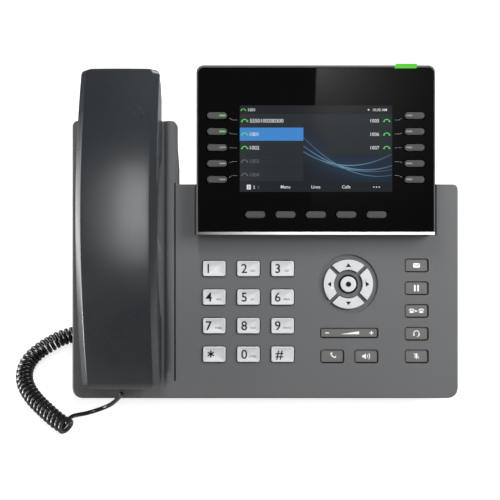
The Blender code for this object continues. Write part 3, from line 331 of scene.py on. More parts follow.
@dataclass(frozen=True)
class BrushedTrimWithPaintedLight:
    """Silver trim whose base colour is a painted highlight at the right fading into painted shade to the
    left.
    """

    name: str = "trim_painted_highlight"
    dark: tuple[float, float, float] = (0.06, 0.06, 0.062)
    light: tuple[float, float, float] = (0.92, 0.92, 0.93)
    left: float = -0.045
    reach: float = 0.065

    def make(self) -> bpy.types.Material:
        """Build the trim: its base colour eases from painted shade at left to a painted highlight at left +
        reach, both in metres along x.
        """
        tree = Tree(self.name)
        x, _ = tree.across()
        share = ((x - self.left) / self.reach).clamped()
        streaks = tree.noise(800.0, 2.0)
        # Painted shade at the left and a painted highlight at the right, in place of the light that the strip
        # catches.
        tree.drive("Base Color", tree.blend(share, self.dark, self.light))
        tree.drive("Roughness", streaks * 0.1 + 0.25)
        tree.constant(Metallic=0.0, Specular_IOR_Level=0.15)
        tree.bump(streaks, 0.05, 0.00003)
        return tree.material


@dataclass(frozen=True)
class GlossBlack:
    """Back-printed clear window: deep black under a polished coat."""

    name: str = "window_black"

    def make(self) -> bpy.types.Material:
        """Build the material with a trace of wipe marks in its gloss."""
        tree = Tree(self.name)
        wipe = tree.noise(30.0, 4.0, 0.65)
        tree.drive("Base Color", tree.blend(wipe, (0.0012, 0.0012, 0.0014), (0.002, 0.002, 0.0022)))
        tree.drive("Roughness", wipe * 0.02 + 0.015)
        tree.constant(IOR=1.45)
        return tree.material


@dataclass(frozen=True)
class Ink:
    """Printed legend or dull line."""

    name: str
    colour: tuple[float, float, float]
    roughness: float = 0.5

    def make(self) -> bpy.types.Material:
        """Build the ink with a faintly uneven film."""
        tree = Tree(self.name)
        film = tree.noise(900.0, 2.0)
        low = tuple(channel * 0.92 for channel in self.colour)
        tree.drive("Base Color", tree.blend(film, low, self.colour))
        tree.constant(Roughness=self.roughness)
        return tree.material


@dataclass(frozen=True)
class Glow:
    """Lit screen element or light pipe."""

    name: str
    colour: tuple[float, float, float]
    strength: float = 1.0

    def make(self) -> bpy.types.Material:
        """Build the glow: the colour is only emitted, brighter towards the middle of its cells."""
        tree = Tree(self.name)
        cell = tree.noise(400.0, 1.0)
        low = tuple(channel * 0.9 for channel in self.colour)
        tree.drive("Emission Color", tree.blend(cell, low, self.colour))
        tree.constant(Base_Color=(0.004, 0.004, 0.004, 1.0), Roughness=0.15, Emission_Strength=self.strength)
        return tree.material


@dataclass(frozen=True)
class Wallpaper:
    """Screen background: dark blue gradient with thin light arcs sweeping across it."""

    name: str = "screen_wallpaper"
    arcs: tuple[tuple[float, float, float, float], ...] = (
        (0.254, 0.827, 1.66, 0.011),
        (0.306, 0.72, 1.71, 0.008),
        (0.18, 0.91, 1.86, 0.006),
        (0.235, 0.86, 1.2, 0.005),
    )

    def make(self) -> bpy.types.Material:
        """Build the picture over UV.

        Each arc is a parabola, height = low + bend * (x - middle) ** 2, drawn as a band whose
        light falls off with the distance from it; under the first arc a soft blue haze hangs.
        """
        tree = Tree(self.name)
        x, y = tree.uv()
        light = None
        haze = None
        for low, middle, bend, width in self.arcs:
            run = x - middle
            away = y - (run * run * bend + low)
            band = (1 - abs(away) / width).clamped() ** 1.5
            fade = (1 - abs(x - 0.68) * 2.2).clamped()
            band = band * fade
            light = band if light is None else light.top(band)
            mist = (1 - abs(away) * 5.0).clamped() ** 2 * fade
            haze = mist if haze is None else haze.top(mist)
        base = tree.blend((y * 0.75 + x * 0.2).clamped(), (0.006, 0.012, 0.018), (0.022, 0.024, 0.03))
        misty = tree.mix(haze * 0.55, base, (0.012, 0.05, 0.1, 1.0))
        lit = tree.mix(light * 0.7, misty, (0.3, 0.55, 0.8, 1.0))
        tree.drive("Emission Color", lit)
        tree.constant(Base_Color=(0.003, 0.003, 0.004, 1.0), Roughness=0.12, Emission_Strength=1.0)
        return tree.material


@dataclass(frozen=True)
class CordJacket:
    """Extruded glossy cord jacket with fine drag lines."""

    name: str = "cord_jacket"

    def make(self) -> bpy.types.Material:
        """Build the jacket; the lines follow the cord through its UV map."""
        tree = Tree(self.name)
        _, around = tree.uv()
        lines = (around * 62.8).math("SINE") * 0.5 + 0.5
        dust = tree.noise(220.0, 3.0)
        tree.drive("Base Color", tree.blend(dust * 0.6, (0.012, 0.012, 0.013), (0.024, 0.024, 0.025)))
        tree.drive("Roughness", dust * 0.1 + 0.18)
        tree.constant(Coat_Weight=0.7, Coat_Roughness=0.1)
        tree.bump(lines, 0.08, 0.00003)
        return tree.material


class Palette:
    """Every finish of the phone, made once and looked up by name."""

    FINISHES = (
        MouldedPlastic("cover_grey", (0.112, 0.114, 0.118), 0.48, 0.22, gloss=0.25),
        MouldedPlastic("back_black", (0.034, 0.035, 0.038), 0.5, 0.45, 1500.0),
        MouldedPlastic("handset_charcoal", (0.017, 0.02, 0.023), 0.29, 0.012, 3200.0, gloss=1.0),
        MouldedPlastic("housing_grey", (0.085, 0.085, 0.088), 0.42, 0.12, gloss=0.35),
        # Trim with a painted highlight that fades into painted shade to the left.
        BrushedTrimWithPaintedLight(),
        MouldedPlastic("silver_paint", (0.58, 0.59, 0.61), 0.32, 0.08, 4200.0, 0.2, 0.1, 0.02),
        MouldedPlastic("key_grey", (0.13, 0.128, 0.125), 0.42, 0.15, gloss=0.3),
        MouldedPlastic("display_key_grey", (0.055, 0.055, 0.055), 0.42, 0.12, gloss=0.3),
        # Black of the jack block, hook switch, loudspeaker and lcd module; also painted shade on the walls of
        # the cover's key holes and narrow lines.
        MouldedPlastic("black_parts_and_painted_shade", (0.012, 0.012, 0.013), 0.5, 0.2),
        MouldedPlastic("rubber_black", (0.014, 0.014, 0.014), 0.8, 0.5, 1200.0),
        MouldedPlastic("plug_smoke", (0.03, 0.03, 0.032), 0.22, 0.05, 3000.0, 0.4),
        MouldedPlastic("screw_steel", (0.35, 0.35, 0.36), 0.35, 0.1, 3000.0, 0.0, 1.0),
        MouldedPlastic("board_green", (0.012, 0.1, 0.035), 0.4, 0.2, 900.0),
        GlossBlack(),
        # Black print on the keys; also painted shade for the screw cross recesses and the sound holes of the
        # handset cups.
        Ink("print_black_and_painted_shade", (0.006, 0.006, 0.006)),
        Ink("ink_white", (0.82, 0.82, 0.82)),
        Ink("ink_grey", (0.16, 0.16, 0.165)),
        Ink("lens_dim", (0.22, 0.22, 0.215), 0.3),
        Glow("glow_green", (0.1, 0.78, 0.12), 0.9),
        Glow("glow_lamp", (0.12, 0.72, 0.05), 0.9),
        Glow("glow_white", (0.8, 0.82, 0.84), 0.9),
        Glow("glow_grey", (0.11, 0.12, 0.125), 1.0),
        Glow("glow_blue", (0.05, 0.24, 0.62), 1.0),
        Glow("glow_panel", (0.018, 0.023, 0.027), 1.0),
        Glow("glow_bar", (0.009, 0.012, 0.016), 1.0),
        Wallpaper(),
        CordJacket(),
    )

    def __init__(self) -> None:
        """Make every material."""
        self.made = {finish.name: finish.make() for finish in self.FINISHES}

    def __getitem__(self, name: str) -> bpy.types.Material:
        """The material of that finish."""
        return self.made[name]


# ------------------------------------------------------------------ surfaces

def rounded_rectangle(width: float, height: float, radius: float, steps: int = 7) -> Outline:
    """Outline of a rectangle about the origin: quarter circles of that radius at its corners.

    Args:
        width: size along u.
        height: size along v.
        radius: corner radius.
        steps: spans in each quarter circle.

    Returns:
        Array (4 * (steps + 1), 2), anticlockwise.
    """
    radius = min(radius, width / 2 - 1e-3, height / 2 - 1e-3)
    angles = (np.arange(4)[:, None] + np.linspace(0, 1, steps + 1)[None, :]) * math.pi / 2
    sign_u = np.array([1, -1, -1, 1])[:, None]
    sign_v = np.array([1, 1, -1, -1])[:, None]
    u = sign_u * (width / 2 - radius) + radius * np.cos(angles)
    v = sign_v * (height / 2 - radius) + radius * np.sin(angles)
    return np.stack([u.ravel(), v.ravel()], axis=1)


def circle(radius: float, steps: int = 48) -> Outline:
    """Outline of a circle about the origin: radius times the cosine and sine of even turns."""
    turn = np.linspace(0, 2 * math.pi, steps, endpoint=False)
    return np.stack([np.cos(turn), np.sin(turn)], axis=1) * radius


def ring_sector(facing: float, inner: float, outer: float, split: float, steps: int = 18) -> Outline:
    """Quarter of a ring with sides parallel to the diagonals.

    Both arcs stop where a line split / 2 beside the diagonal crosses them.

    Args:
        facing: direction of the middle of the sector.
        inner: inner radius.
        outer: outer radius.
        split: width of the bars between sectors.
        steps: spans of each arc.

    Returns:
        Array (2 * (steps + 1), 2), anticlockwise.
    """
    arcs = []
    for radius, direction in ((outer, 1.0), (inner, -1.0)):
        reach = (math.pi / 4 - math.asin(split / 2 / radius)) * direction
        turn = facing + np.linspace(-reach, reach, steps + 1)
        arcs.append(np.stack([np.cos(turn), np.sin(turn)], axis=1) * radius)
    return np.concatenate(arcs)


def grid_faces(rows: int, columns: int, around: bool) -> Faces:
    """Quads of a grid of points, its columns joined into loops where around is true."""
    row = np.arange(rows - 1)[:, None]
    column = np.arange(columns if around else columns - 1)[None, :]
    after = (column + 1) % columns
    here, above = row * columns, (row + 1) * columns
    quads = np.stack([here + column, here + after, above + after, above + column], axis=-1)
    return [tuple(quad) for quad in quads.reshape(-1, 4).tolist()]


def loft(rings: np.ndarray) -> Skin:
    """Closed skin over a stack of rings; each end closes in a fan on the ring's middle.

    Args:
        rings: array (ring count, points in a ring, 3).

    Returns:
        Points and outward faces. The sign of the enclosed volume says if they must be turned.
    """
    count, around, _ = rings.shape
    points = np.concatenate([rings.reshape(-1, 3), rings[0].mean(0)[None], rings[-1].mean(0)[None]])
    faces = grid_faces(count, around, True)
    low, high = count * around, count * around + 1
    last = (count - 1) * around
    faces += [(low, (i + 1) % around, i) for i in range(around)]
    faces += [(high, last + i, last + (i + 1) % around) for i in range(around)]
    middle = rings.reshape(-1, 3).mean(0)
    quads = np.array([face for face in faces if len(face) == 4])
    a, b, c, d = (points[quads[:, k]] - middle for k in range(4))
    volume = np.einsum("ij,ij->i", a, np.cross(b, c)).sum() + np.einsum("ij,ij->i", a, np.cross(c, d)).sum()
    if volume < 0:
        faces = [face[::-1] for face in faces]
    return points, faces


def cap_skin(outlines: list[Outline], heights: list[float], crown: float = 0.0, rings: int = 4) -> Skin:
    """Closed button: a side wall through outlines at heights, then a crowned top.

    The top is the last outline shrunk by s towards its middle, raised by crown * (1 - s * s).

    Args:
        outlines: outlines with the same number of points, from the foot up.
        heights: height of each outline.
        crown: rise of the middle of the top, negative for a dish.
        rings: rings between rim and middle.

    Returns:
        Points and faces.
    """
    stack = [
        np.column_stack([outline, np.full(len(outline), height)])
        for outline, height in zip(outlines, heights)
    ]
    rim = outlines[-1]
    middle = rim.mean(0)
    for share in (0.98, *np.linspace(1, 0, rings + 2)[1:-1]):
        inner = middle + (rim - middle) * share
        stack.append(np.column_stack([inner, np.full(len(rim), heights[-1] + crown * (1 - share * share))]))
    points, faces = loft(np.array(stack))
    points[-1, 2] = heights[-1] + crown
    return points, faces


def fillet(
    width: float, height: float, corner: float, radius: float, low: float, top: float, steps: int = 4,
) -> tuple[list, list]:
    """Outlines and heights of a rounded rectangle whose upper edge is a quarter round.

    At angle a the outline has moved in by radius * (1 - cos a) and up to top - radius * (1 - sin a).
    """
    outlines = [rounded_rectangle(width, height, corner)]
    heights = [low]
    for angle in np.linspace(0, math.pi / 2, steps + 1):
        inset = radius * (1 - math.cos(angle))
        outlines.append(rounded_rectangle(width - 2 * inset, height - 2 * inset, max(corner - inset, 0.12)))
        heights.append(top - radius * (1 - math.sin(angle)))
    return outlines, heights


def ribbon(line: np.ndarray, width: float, closed: bool = False) -> Skin:
    """Flat strip of that width along a line; each point moves half the width along its normal."""
    line = np.asarray(line, dtype=float)
    if closed:
        ahead = np.roll(line, -1, 0) - np.roll(line, 1, 0)
    else:
        ahead = np.gradient(line, axis=0)
    ahead /= np.linalg.norm(ahead, axis=1)[:, None]
    side = np.stack([-ahead[:, 1], ahead[:, 0]], axis=1) * width / 2
    points = np.concatenate([line - side, line + side])
    count = len(line)
    spans = range(count if closed else count - 1)
    return points, [(i, (i + 1) % count, (i + 1) % count + count, i + count) for i in spans]


def arc(centre: tuple[float, float], radius: float, start: float, end: float, steps: int = 10) -> np.ndarray:
    """Points of an arc, angles in degrees."""
    turn = np.radians(np.linspace(start, end, steps + 1))
    return np.array(centre) + radius * np.stack([np.cos(turn), np.sin(turn)], axis=1)


def sheet(outline: Outline) -> Skin:
    """Flat face inside an outline."""
    return outline, [tuple(range(len(outline)))]


def turned(points: np.ndarray, angle: float) -> np.ndarray:
    """Flat points turned about the origin by an angle in radians."""
    cos, sin = math.cos(angle), math.sin(angle)
    return points @ np.array([[cos, -sin], [sin, cos]]).T


def shifted(at: Place, right: float = 0.0, up: float = 0.0, out: float = 0.0) -> Place:
    """The place that lies that far from another."""
    return at[0] + right, at[1] + up, at[2] + out


def lettering(text: str, height: float, weight: float = 0.0) -> Skin:
    """Flat outline letters, centred on the origin.

    Args:
        text: what it says.
        height: height of its capitals.
        weight: extra thickness of the strokes as a share of the height.

    Returns:
        Points (count, 2) and faces.
    """
    curve = bpy.data.curves.new("lettering", "FONT")
    curve.body = text
    curve.size = height / 0.72
    curve.offset = weight * height
    curve.resolution_u = 3
    curve.fill_mode = "FRONT"
    guide = bpy.data.objects.new("lettering", curve)
    bpy.context.scene.collection.objects.link(guide)
    graph = bpy.context.evaluated_depsgraph_get()
    mesh = bpy.data.meshes.new_from_object(guide.evaluated_get(graph))
    flat = np.zeros(len(mesh.vertices) * 3)
    mesh.vertices.foreach_get("co", flat)
    points = flat.reshape(-1, 3)[:, :2].copy()
    faces = [tuple(polygon.vertices) for polygon in mesh.polygons]
    bpy.data.objects.remove(guide, do_unlink=True)
    bpy.data.meshes.remove(mesh)
    points[:, 0] -= (points[:, 0].min() + points[:, 0].max()) / 2
    points[:, 1] -= height / 2
    return points, faces


class Piece:
    """Surfaces of one piece, gathered in one space, each with its finish."""

    def __init__(self, name: str, space: Space = Space.FACE) -> None:
        """Start an empty piece."""
        self.name = name
        self.space = space
        self.points: list[np.ndarray] = []
        self.faces: Faces = []
        self.finish_of: list[int] = []
        self.finishes: list[str] = []
        self.count = 0

    def add(self, skin: Skin, finish: str, at: tuple[float, ...] = (0, 0, 0)) -> "Piece":
        """Add a skin.

        Args:
            skin: points, flat or not, and faces.
            finish: name of its finish.
            at: where its origin goes.

        Returns:
            This piece, so that calls can follow each other.
        """
        points, faces = skin
        points = np.asarray(points, dtype=float)
        if points.shape[1] == 2:
            points = np.column_stack([points, np.zeros(len(points))])
            area = sum(self.turn(points, face) for face in faces)
            if area < 0:
                faces = [face[::-1] for face in faces]
        if finish not in self.finishes:
            self.finishes.append(finish)
        self.points.append(points + np.array(at, dtype=float))
        self.faces += [tuple(index + self.count for index in face) for face in faces]
        self.finish_of += [self.finishes.index(finish)] * len(faces)
        self.count += len(points)
        return self

    @staticmethod
    def turn(points: np.ndarray, face: tuple[int, ...]) -> float:
        """Signed area of a flat face, positive where it faces out."""
        corners = points[list(face), :2]
        after = np.roll(corners, -1, 0)
        return float((corners[:, 0] * after[:, 1] - corners[:, 1] * after[:, 0]).sum() / 2)

    def make(
        self, palette: Palette, crease: "float | None" = 38.0, uv: "np.ndarray | None" = None,
    ) -> bpy.types.Object:
        """Make the object, not yet declared.

        Args:
            palette: where the finishes are.
            crease: edges sharper than this many degrees stay sharp; None keeps none sharp.
            uv: optional UV of each point.

        Returns:
            The finished object.
        """
        mesh = bpy.data.meshes.new(self.name)
        points = self.space.to_world(np.concatenate(self.points))
        mesh.from_pydata(points.tolist(), [], self.faces)
        for finish in self.finishes:
            mesh.materials.append(palette[finish])
        mesh.polygons.foreach_set("material_index", self.finish_of)
        if uv is not None:
            layer = mesh.uv_layers.new(name="UVMap")
            corners = np.zeros(len(mesh.loops), dtype=int)
            mesh.loops.foreach_get("vertex_index", corners)
            layer.data.foreach_set("uv", uv[corners].ravel())
        mesh.shade_smooth()
        if crease is not None:
            mesh.set_sharp_from_angle(angle=math.radians(crease))
        mesh.update()
        item = bpy.data.objects.new(self.name, mesh)
        bpy.context.scene.collection.objects.link(item)
        return item

    def build(
        self, palette: Palette, body: str, slot: str, replaces: tuple[str, ...] = (), crease: float = 38.0,
        uv: "np.ndarray | None" = None,
    ) -> bpy.types.Object:
        """Args:
            palette: where the finishes are.
            body: the moving body that it rides on.
            slot: not used; names the record's material slot.
            replaces: CAD nodes that it stands for.
            crease: edges sharper than this many degrees stay sharp.
            uv: optional UV of each point.

        Returns:
            The finished object.
        """
        item = self.make(palette, crease, uv)
        declare(item, body, replaces)
        LOG.info("%s: %d faces on %s", self.name, len(self.faces), body)
        return item


def declare(item: bpy.types.Object, body: str, replaces: tuple[str, ...] = ()) -> None:
    """Say what a piece rides on and stands for: hang it on its body and hide the CAD nodes that it replaces.
    """
    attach(item, body)
    if replaces:
        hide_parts(*replaces)


def refined(
    palette: Palette, node: str, finish: str, body: str = "base", bevel: float = 0.25,
    flat: bool = False,
) -> bpy.types.Object:
    """Welded copy of a CAD node with softened edges, in place of the node.

    Args:
        palette: where the finishes are.
        node: the CAD node.
        finish: its finish.
        body: the body that it rides on.
        bevel: edge radius in millimetres, 0 for none.
        flat: whether its faces are shaded flat, as on polished sheet.

    Returns:
        The new object.
    """
    mesh = frame["nodes"][node].data.copy()
    solid = bmesh.new()
    solid.from_mesh(mesh)
    bmesh.ops.remove_doubles(solid, verts=solid.verts, dist=0.002 * MM)
    solid.to_mesh(mesh)
    solid.free()
    mesh.materials.clear()
    mesh.materials.append(palette[finish])
    if flat:
        mesh.shade_flat()
    else:
        mesh.shade_smooth()
        mesh.set_sharp_from_angle(angle=math.radians(32))
        for face in mesh.polygons:
            if bevel == 0 and max(np.abs(Space.to_face_way(np.array(face.normal)))) > 0.99999:
                face.use_smooth = False
    item = bpy.data.objects.new(node + "_skin", mesh)
    bpy.context.scene.collection.objects.link(item)
    if bevel > 0:
        modifier = item.modifiers.new("edge", "BEVEL")
        modifier.width = bevel * MM
        modifier.segments = 2
        modifier.limit_method = "ANGLE"
        modifier.angle_limit = math.radians(40)
        modifier.harden_normals = True
    declare(item, body, (node,))
    LOG.info("%s: refined copy", node)
    return item


# ------------------------------------------------------------------ covers

@dataclass
class Covers:
    """Front and rear covers, footstand, feet, jacks and screws."""

    palette: Palette
    screw_places: tuple[tuple[float, float], ...] = ((-112, 92), (112, 92), (-112, 132), (112, 132))
    rear_deep: float = -35.0
    screw_radius: float = 2.9
    # plate_u, plate_v, opening_n, dish and dish_n bound the painted shade: cover faces inside the plate below
    # opening_n, or below dish_n in the dish, are painted black as shade.
    plate_u: tuple[float, float] = (-58.45, 121.5)
    plate_v: tuple[float, float] = (0.6, 137.2)
    opening_n: float = -0.4
    dish: tuple[float, float, float] = (53.3, 73.2, 19.4)
    dish_n: float = -1.4

    def build(self) -> None:
        """Build and dress every cover."""
        cover = refined(self.palette, "front_cover", "cover_grey", bevel=0.0)
        # The walls of the cover's key holes and narrow lines get painted shade.
        self.paint_shade_in_openings(cover.data)
        refined(self.palette, "rear_cover", "back_black", bevel=0.3)
        refined(self.palette, "footstand", "back_black", "stand", 0.0)
        refined(self.palette, "front_foot", "rubber_black", bevel=0.5)
        refined(self.palette, "jack_block", "black_parts_and_painted_shade", bevel=0.12)
        refined(self.palette, "handset_rest_tab", "cover_grey", "rest_tab", 0.3)
        refined(self.palette, "hook_switch", "black_parts_and_painted_shade", "hook_plunger", 0.3)
        refined(self.palette, "loudspeaker", "black_parts_and_painted_shade", bevel=0.4)
        refined(self.palette, "main_board", "board_green", bevel=0.0)
        self.screws()
        self.stand_pads()

    def paint_shade_in_openings(self, mesh: bpy.types.Mesh) -> None:
        """Paint shade on the walls of key holes and of the narrow lines: those faces take the black finish as
        painted shade.
        """
        mesh.materials.append(self.palette["black_parts_and_painted_shade"])
        low, high = self.plate_u
        for face in mesh.polygons:
            u, v, n = Space.to_face(np.array(face.center))
            inside = low < u < high and self.plate_v[0] < v < self.plate_v[1]
            dished = math.hypot(u - self.dish[0], v - self.dish[1]) < self.dish[2]
            # Faces sunk below the face take the black finish as painted shade.
            if inside and n < (self.dish_n if dished else self.opening_n):
                face.material_index = 1

    def screws(self) -> None:
        """Pan heads on the rear cover, each with its cross recess drawn as two black strips of painted shade.
        """
        for number, (u, v) in enumerate(self.screw_places, start=1):
            outlines = [circle(self.screw_radius * share, 32) for share in (1, 1, 0.86, 0.6)]
            head = cap_skin(outlines, [0.0, -0.5, -1.1, -1.35], -0.1)
            piece = Piece(f"rear_screw_{number}").add(head, "screw_steel", (u, v, self.rear_deep + 0.15))
            # The cross recess is two black strips: painted shade, not a cut.
            for angle in (math.pi / 4, -math.pi / 4):
                bar = np.array([[-1.6, 0.0], [1.6, 0.0]])
                strip, quads = ribbon(turned(bar, angle), 0.55)
                strip = np.column_stack([strip, np.full(len(strip), -1.5)])
                piece.add((strip, [quad[::-1] for quad in quads]), "print_black_and_painted_shade", (u, v, self.rear_deep + 0.13))
            piece.build(self.palette, "base", "jack_black")

    def stand_pads(self) -> None:
        """Rubber pads let into the foot of the stand."""
        for number, x in enumerate((-42.0, 42.0), start=1):
            outlines, heights = fillet(20.0, 8.0, 3.0, 0.3, 0.9, 0.05)
            piece = Piece(f"stand_pad_{number}", Space.DESK)
            pad = cap_skin(outlines, [0.9, *[1.2 - height for height in heights[1:]]])
            piece.add(pad, "rubber_black", (x, 141.5, 0.0))
            piece.build(self.palette, "stand", "rubber")


# ------------------------------------------------------------------ display

@dataclass
class Display:
    """Housing rim, black window, lit screen, line keys and soft keys."""

    palette: Palette
    glass: float = 11.8
    trim_u: tuple[float, float] = (-42.9, 105.9)
    screen_u: tuple[float, float] = (-16.1, 79.3)
    screen_v: tuple[float, float] = (131.5, 185.6)
    row_top: float = 180.2
    row_pitch: float = 8.45
    left_column: tuple[float, float] = (-16.1, 23.7)
    right_column: tuple[float, float] = (39.3, 79.3)
    line_u: tuple[float, float] = (-30.4, 93.2)
    line_rows: tuple[float, ...] = (179.2, 169.2, 159.2, 149.2, 139.2)
    soft_v: float = 117.2
    soft_us: tuple[float, ...] = (-6.5, 12.5, 31.5, 50.5, 69.5)
    key_size: tuple[float, float, float] = (12.5, 4.25, 2.12)
    key_top: float = 12.9

    def build(self) -> None:
        """Build and dress the display."""
        refined(self.palette, "display_housing", "housing_grey", bevel=0.0)
        self.trim()
        refined(self.palette, "display_window", "window_black", bevel=0.0, flat=True)
        refined(self.palette, "message_lamp", "glow_lamp", bevel=0.25)
        frame["nodes"]["lcd_module"].data.materials.clear()
        frame["nodes"]["lcd_module"].data.materials.append(self.palette["black_parts_and_painted_shade"])
        self.wallpaper()
        self.screen_content()
        self.leader_lines()
        self.keys()

    def trim(self) -> None:
        """Strip let into the lower edge of the housing: a quarter round and a flat, made bright by a painted
        highlight that fades into painted shade to the left.
        """
        low, top, radius = 104.65, 12.03, 0.3
        turn = np.linspace(0, math.pi / 2, 7)
        v = np.concatenate([[low], low + radius * (1 - np.cos(turn)), [106.4]])
        n = np.concatenate([[7.0], top - radius * (1 - np.sin(turn)), [top]])
        u = np.linspace(*self.trim_u, 31)
        points = np.stack(np.broadcast_arrays(u[:, None], v[None, :], n[None, :]), axis=-1).reshape(-1, 3)
        # Its finish is a painted highlight fading into painted shade to the left.
        piece = Piece("display_trim").add((points, grid_faces(len(u), len(v), False)), "trim_painted_highlight")
        piece.build(self.palette, "base", "housing_plastic")

    def wallpaper(self) -> None:
        """Grid over the active area that carries the lit background."""
        low_u, high_u = self.screen_u
        low_v, high_v = self.screen_v
        across, up = np.meshgrid(np.linspace(0, 1, 25), np.linspace(0, 1, 15))
        u, v = low_u + across * (high_u - low_u), low_v + up * (high_v - low_v)
        points = np.stack([u, v, np.full(across.shape, self.glass + FILM_LIFT)], axis=-1).reshape(-1, 3)
        piece = Piece("screen_background")
        piece.add((points, grid_faces(15, 25, False)), "screen_wallpaper")
        piece.build(self.palette, "base", "screen", uv=np.stack([across.ravel(), up.ravel()], axis=1))

    def panel(
        self, piece: Piece, span: tuple[float, float], low: float, high: float, finish: str, lift: float,
    ) -> None:
        """Add a flat rectangle to the screen."""
        points = np.array([(span[0], low), (span[1], low), (span[1], high), (span[0], high)])
        piece.add(sheet(points), finish, (0, 0, self.glass + lift))

    def words(
        self, piece: Piece, text: str, u: float, v: float, height: float, finish: str, left: bool = True,
    ) -> None:
        """Add words that start at u, or are centred on it."""
        points, faces = lettering(text, height, STROKE)
        shift = u - points[:, 0].min() if left else u
        piece.add((points, faces), finish, (shift, v, self.glass + INK_LIFT))

    def handset_icon(self, piece: Piece, u: float, v: float, finish: str, size: float = 1.0) -> None:
        """Add a small handset seen lying down: an arc with two thick ends."""
        body = arc((0, -1.1 * size), 1.9 * size, 25, 155, 12)
        piece.add(ribbon(body, 0.55 * size), finish, (u, v, self.glass + INK_LIFT))
        for side in (-1, 1):
            end = np.array([(side * 1.75, -0.75), (side * 1.75, 0.0)]) * size
            piece.add(ribbon(end, 1.0 * size), finish, (u, v - 0.1 * size, self.glass + INK_LIFT))

    def screen_content(self) -> None:
        """Rows of lines, status bar and the labels of the soft keys."""
        piece = Piece("screen_content")
        low_u, high_u = self.screen_u
        self.panel(piece, (low_u, high_u), self.row_top, self.screen_v[1], "glow_bar", BAR_LIFT)
        self.panel(piece, (low_u, high_u), self.screen_v[0], 137.7, "glow_bar", BAR_LIFT)
        left_rows = ("5550100200300", "1001", "1002", "1003", "1004")
        for number, text in enumerate(left_rows):
            high = self.row_top - number * self.row_pitch
            low = high - self.row_pitch + 0.25
            chosen = number == 1
            live = number < 3
            ground = "glow_blue" if chosen else "glow_panel"
            self.panel(piece, self.left_column, low, high, ground, ROW_LIFT)
            middle = (low + high) / 2
            self.handset_icon(piece, low_u + 3.0, middle, "glow_green" if live else "glow_grey")
            self.words(piece, text, low_u + 6.3, middle, 2.35, "glow_white" if live else "glow_grey")
        for number, text in enumerate(("1005", "1006", "1007")):
            high = self.row_top - number * self.row_pitch
            low = high - self.row_pitch + 0.25
            self.panel(piece, self.right_column, low, high, "glow_panel", ROW_LIFT)
            middle = (low + high) / 2
            self.handset_icon(piece, high_u - 3.4, middle, "glow_green")
            self.words(piece, text, high_u - 13.6, middle, 2.2, "glow_white")
        bar = (self.row_top + self.screen_v[1]) / 2
        self.handset_icon(piece, low_u + 2.2, bar, "glow_green", 0.75)
        self.words(piece, "1001", low_u + 5.2, bar, 1.9, "glow_white")
        self.words(piece, "10:30 AM", high_u - 12.0, bar, 1.7, "glow_white")
        piece.add(sheet(circle(0.55, 16)), "glow_white", (high_u - 14.8, bar, self.glass + INK_LIFT))
        label = 134.5
        self.panel(piece, (low_u + 4.3, low_u + 6.9), label - 1.5, label + 1.5, "glow_white", CHIP_LIFT)
        self.words(piece, "1", low_u + 5.6, label, 1.9, "glow_bar", False)
        self.words(piece, "2", low_u + 8.9, label, 1.9, "glow_white", False)
        self.words(piece, "3", low_u + 11.6, label, 1.9, "glow_grey", False)
        for u, text in zip(self.soft_us[1:4], ("Menu", "Lines", "Calls")):
            self.words(piece, text, u, label + 0.2, 2.0, "glow_white", False)
        for step in (-1.7, 0.0, 1.7):
            dot = (self.soft_us[4] + step, label, self.glass + INK_LIFT)
            piece.add(sheet(circle(0.42, 14)), "glow_white", dot)
        piece.build(self.palette, "base", "screen")

    def leader_lines(self) -> None:
        """Thin printed lines from each line key to its row on the screen."""
        piece = Piece("leader_lines")
        for side, key_end, screen_end in ((0, -22.7, -17.8), (1, 85.4, 80.9)):
            for number, key_v in enumerate(self.line_rows):
                target = 176.0 - number * self.row_pitch
                step = key_v + (target - key_v) * 0.85
                elbow = key_end + (screen_end - key_end) * 0.42
                start = key_v + (target - key_v) * 0.45
                line = np.array([(key_end, start), (elbow, step), (screen_end, step)])
                piece.add(ribbon(line, 0.22), "ink_grey", (0, 0, self.glass + FILM_LIFT))
        piece.build(self.palette, "base", "window_glass")

    def keys(self) -> None:
        """Pill keys beside and below the screen, the line keys with a light bar."""
        for side, name in enumerate(("left", "right")):
            for number, v in enumerate(self.line_rows, start=1):
                node = f"line_key_{name}_{number}"
                lit = name == "left" and number < 3
                piece = self.key(node, self.line_u[side], v)
                towards = 1 if name == "left" else -1
                outlines, heights = fillet(3.9, 0.95, 0.45, 0.12, 0.0, 0.16, 2)
                bar = cap_skin(outlines, heights)
                finish = "glow_green" if lit else "lens_dim"
                piece.add(bar, finish, (self.line_u[side] + towards * 3.4, v, self.key_top - 0.02))
                piece.build(self.palette, node, "grey_keys", (node,))
        for number, u in enumerate(self.soft_us, start=1):
            node = f"soft_key_{number}"
            self.key(node, u, self.soft_v).build(self.palette, node, "grey_keys", (node,))

    def key(self, node: str, u: float, v: float) -> Piece:
        """One pill key with a softly crowned top."""
        width, height, corner = self.key_size
        outlines, heights = fillet(width, height, corner, 0.5, 8.6, self.key_top - 0.12)
        piece = Piece(node + "_cap")
        return piece.add(cap_skin(outlines, heights, 0.1), "display_key_grey", (u, v, 0))


# ------------------------------------------------------------------ keypad

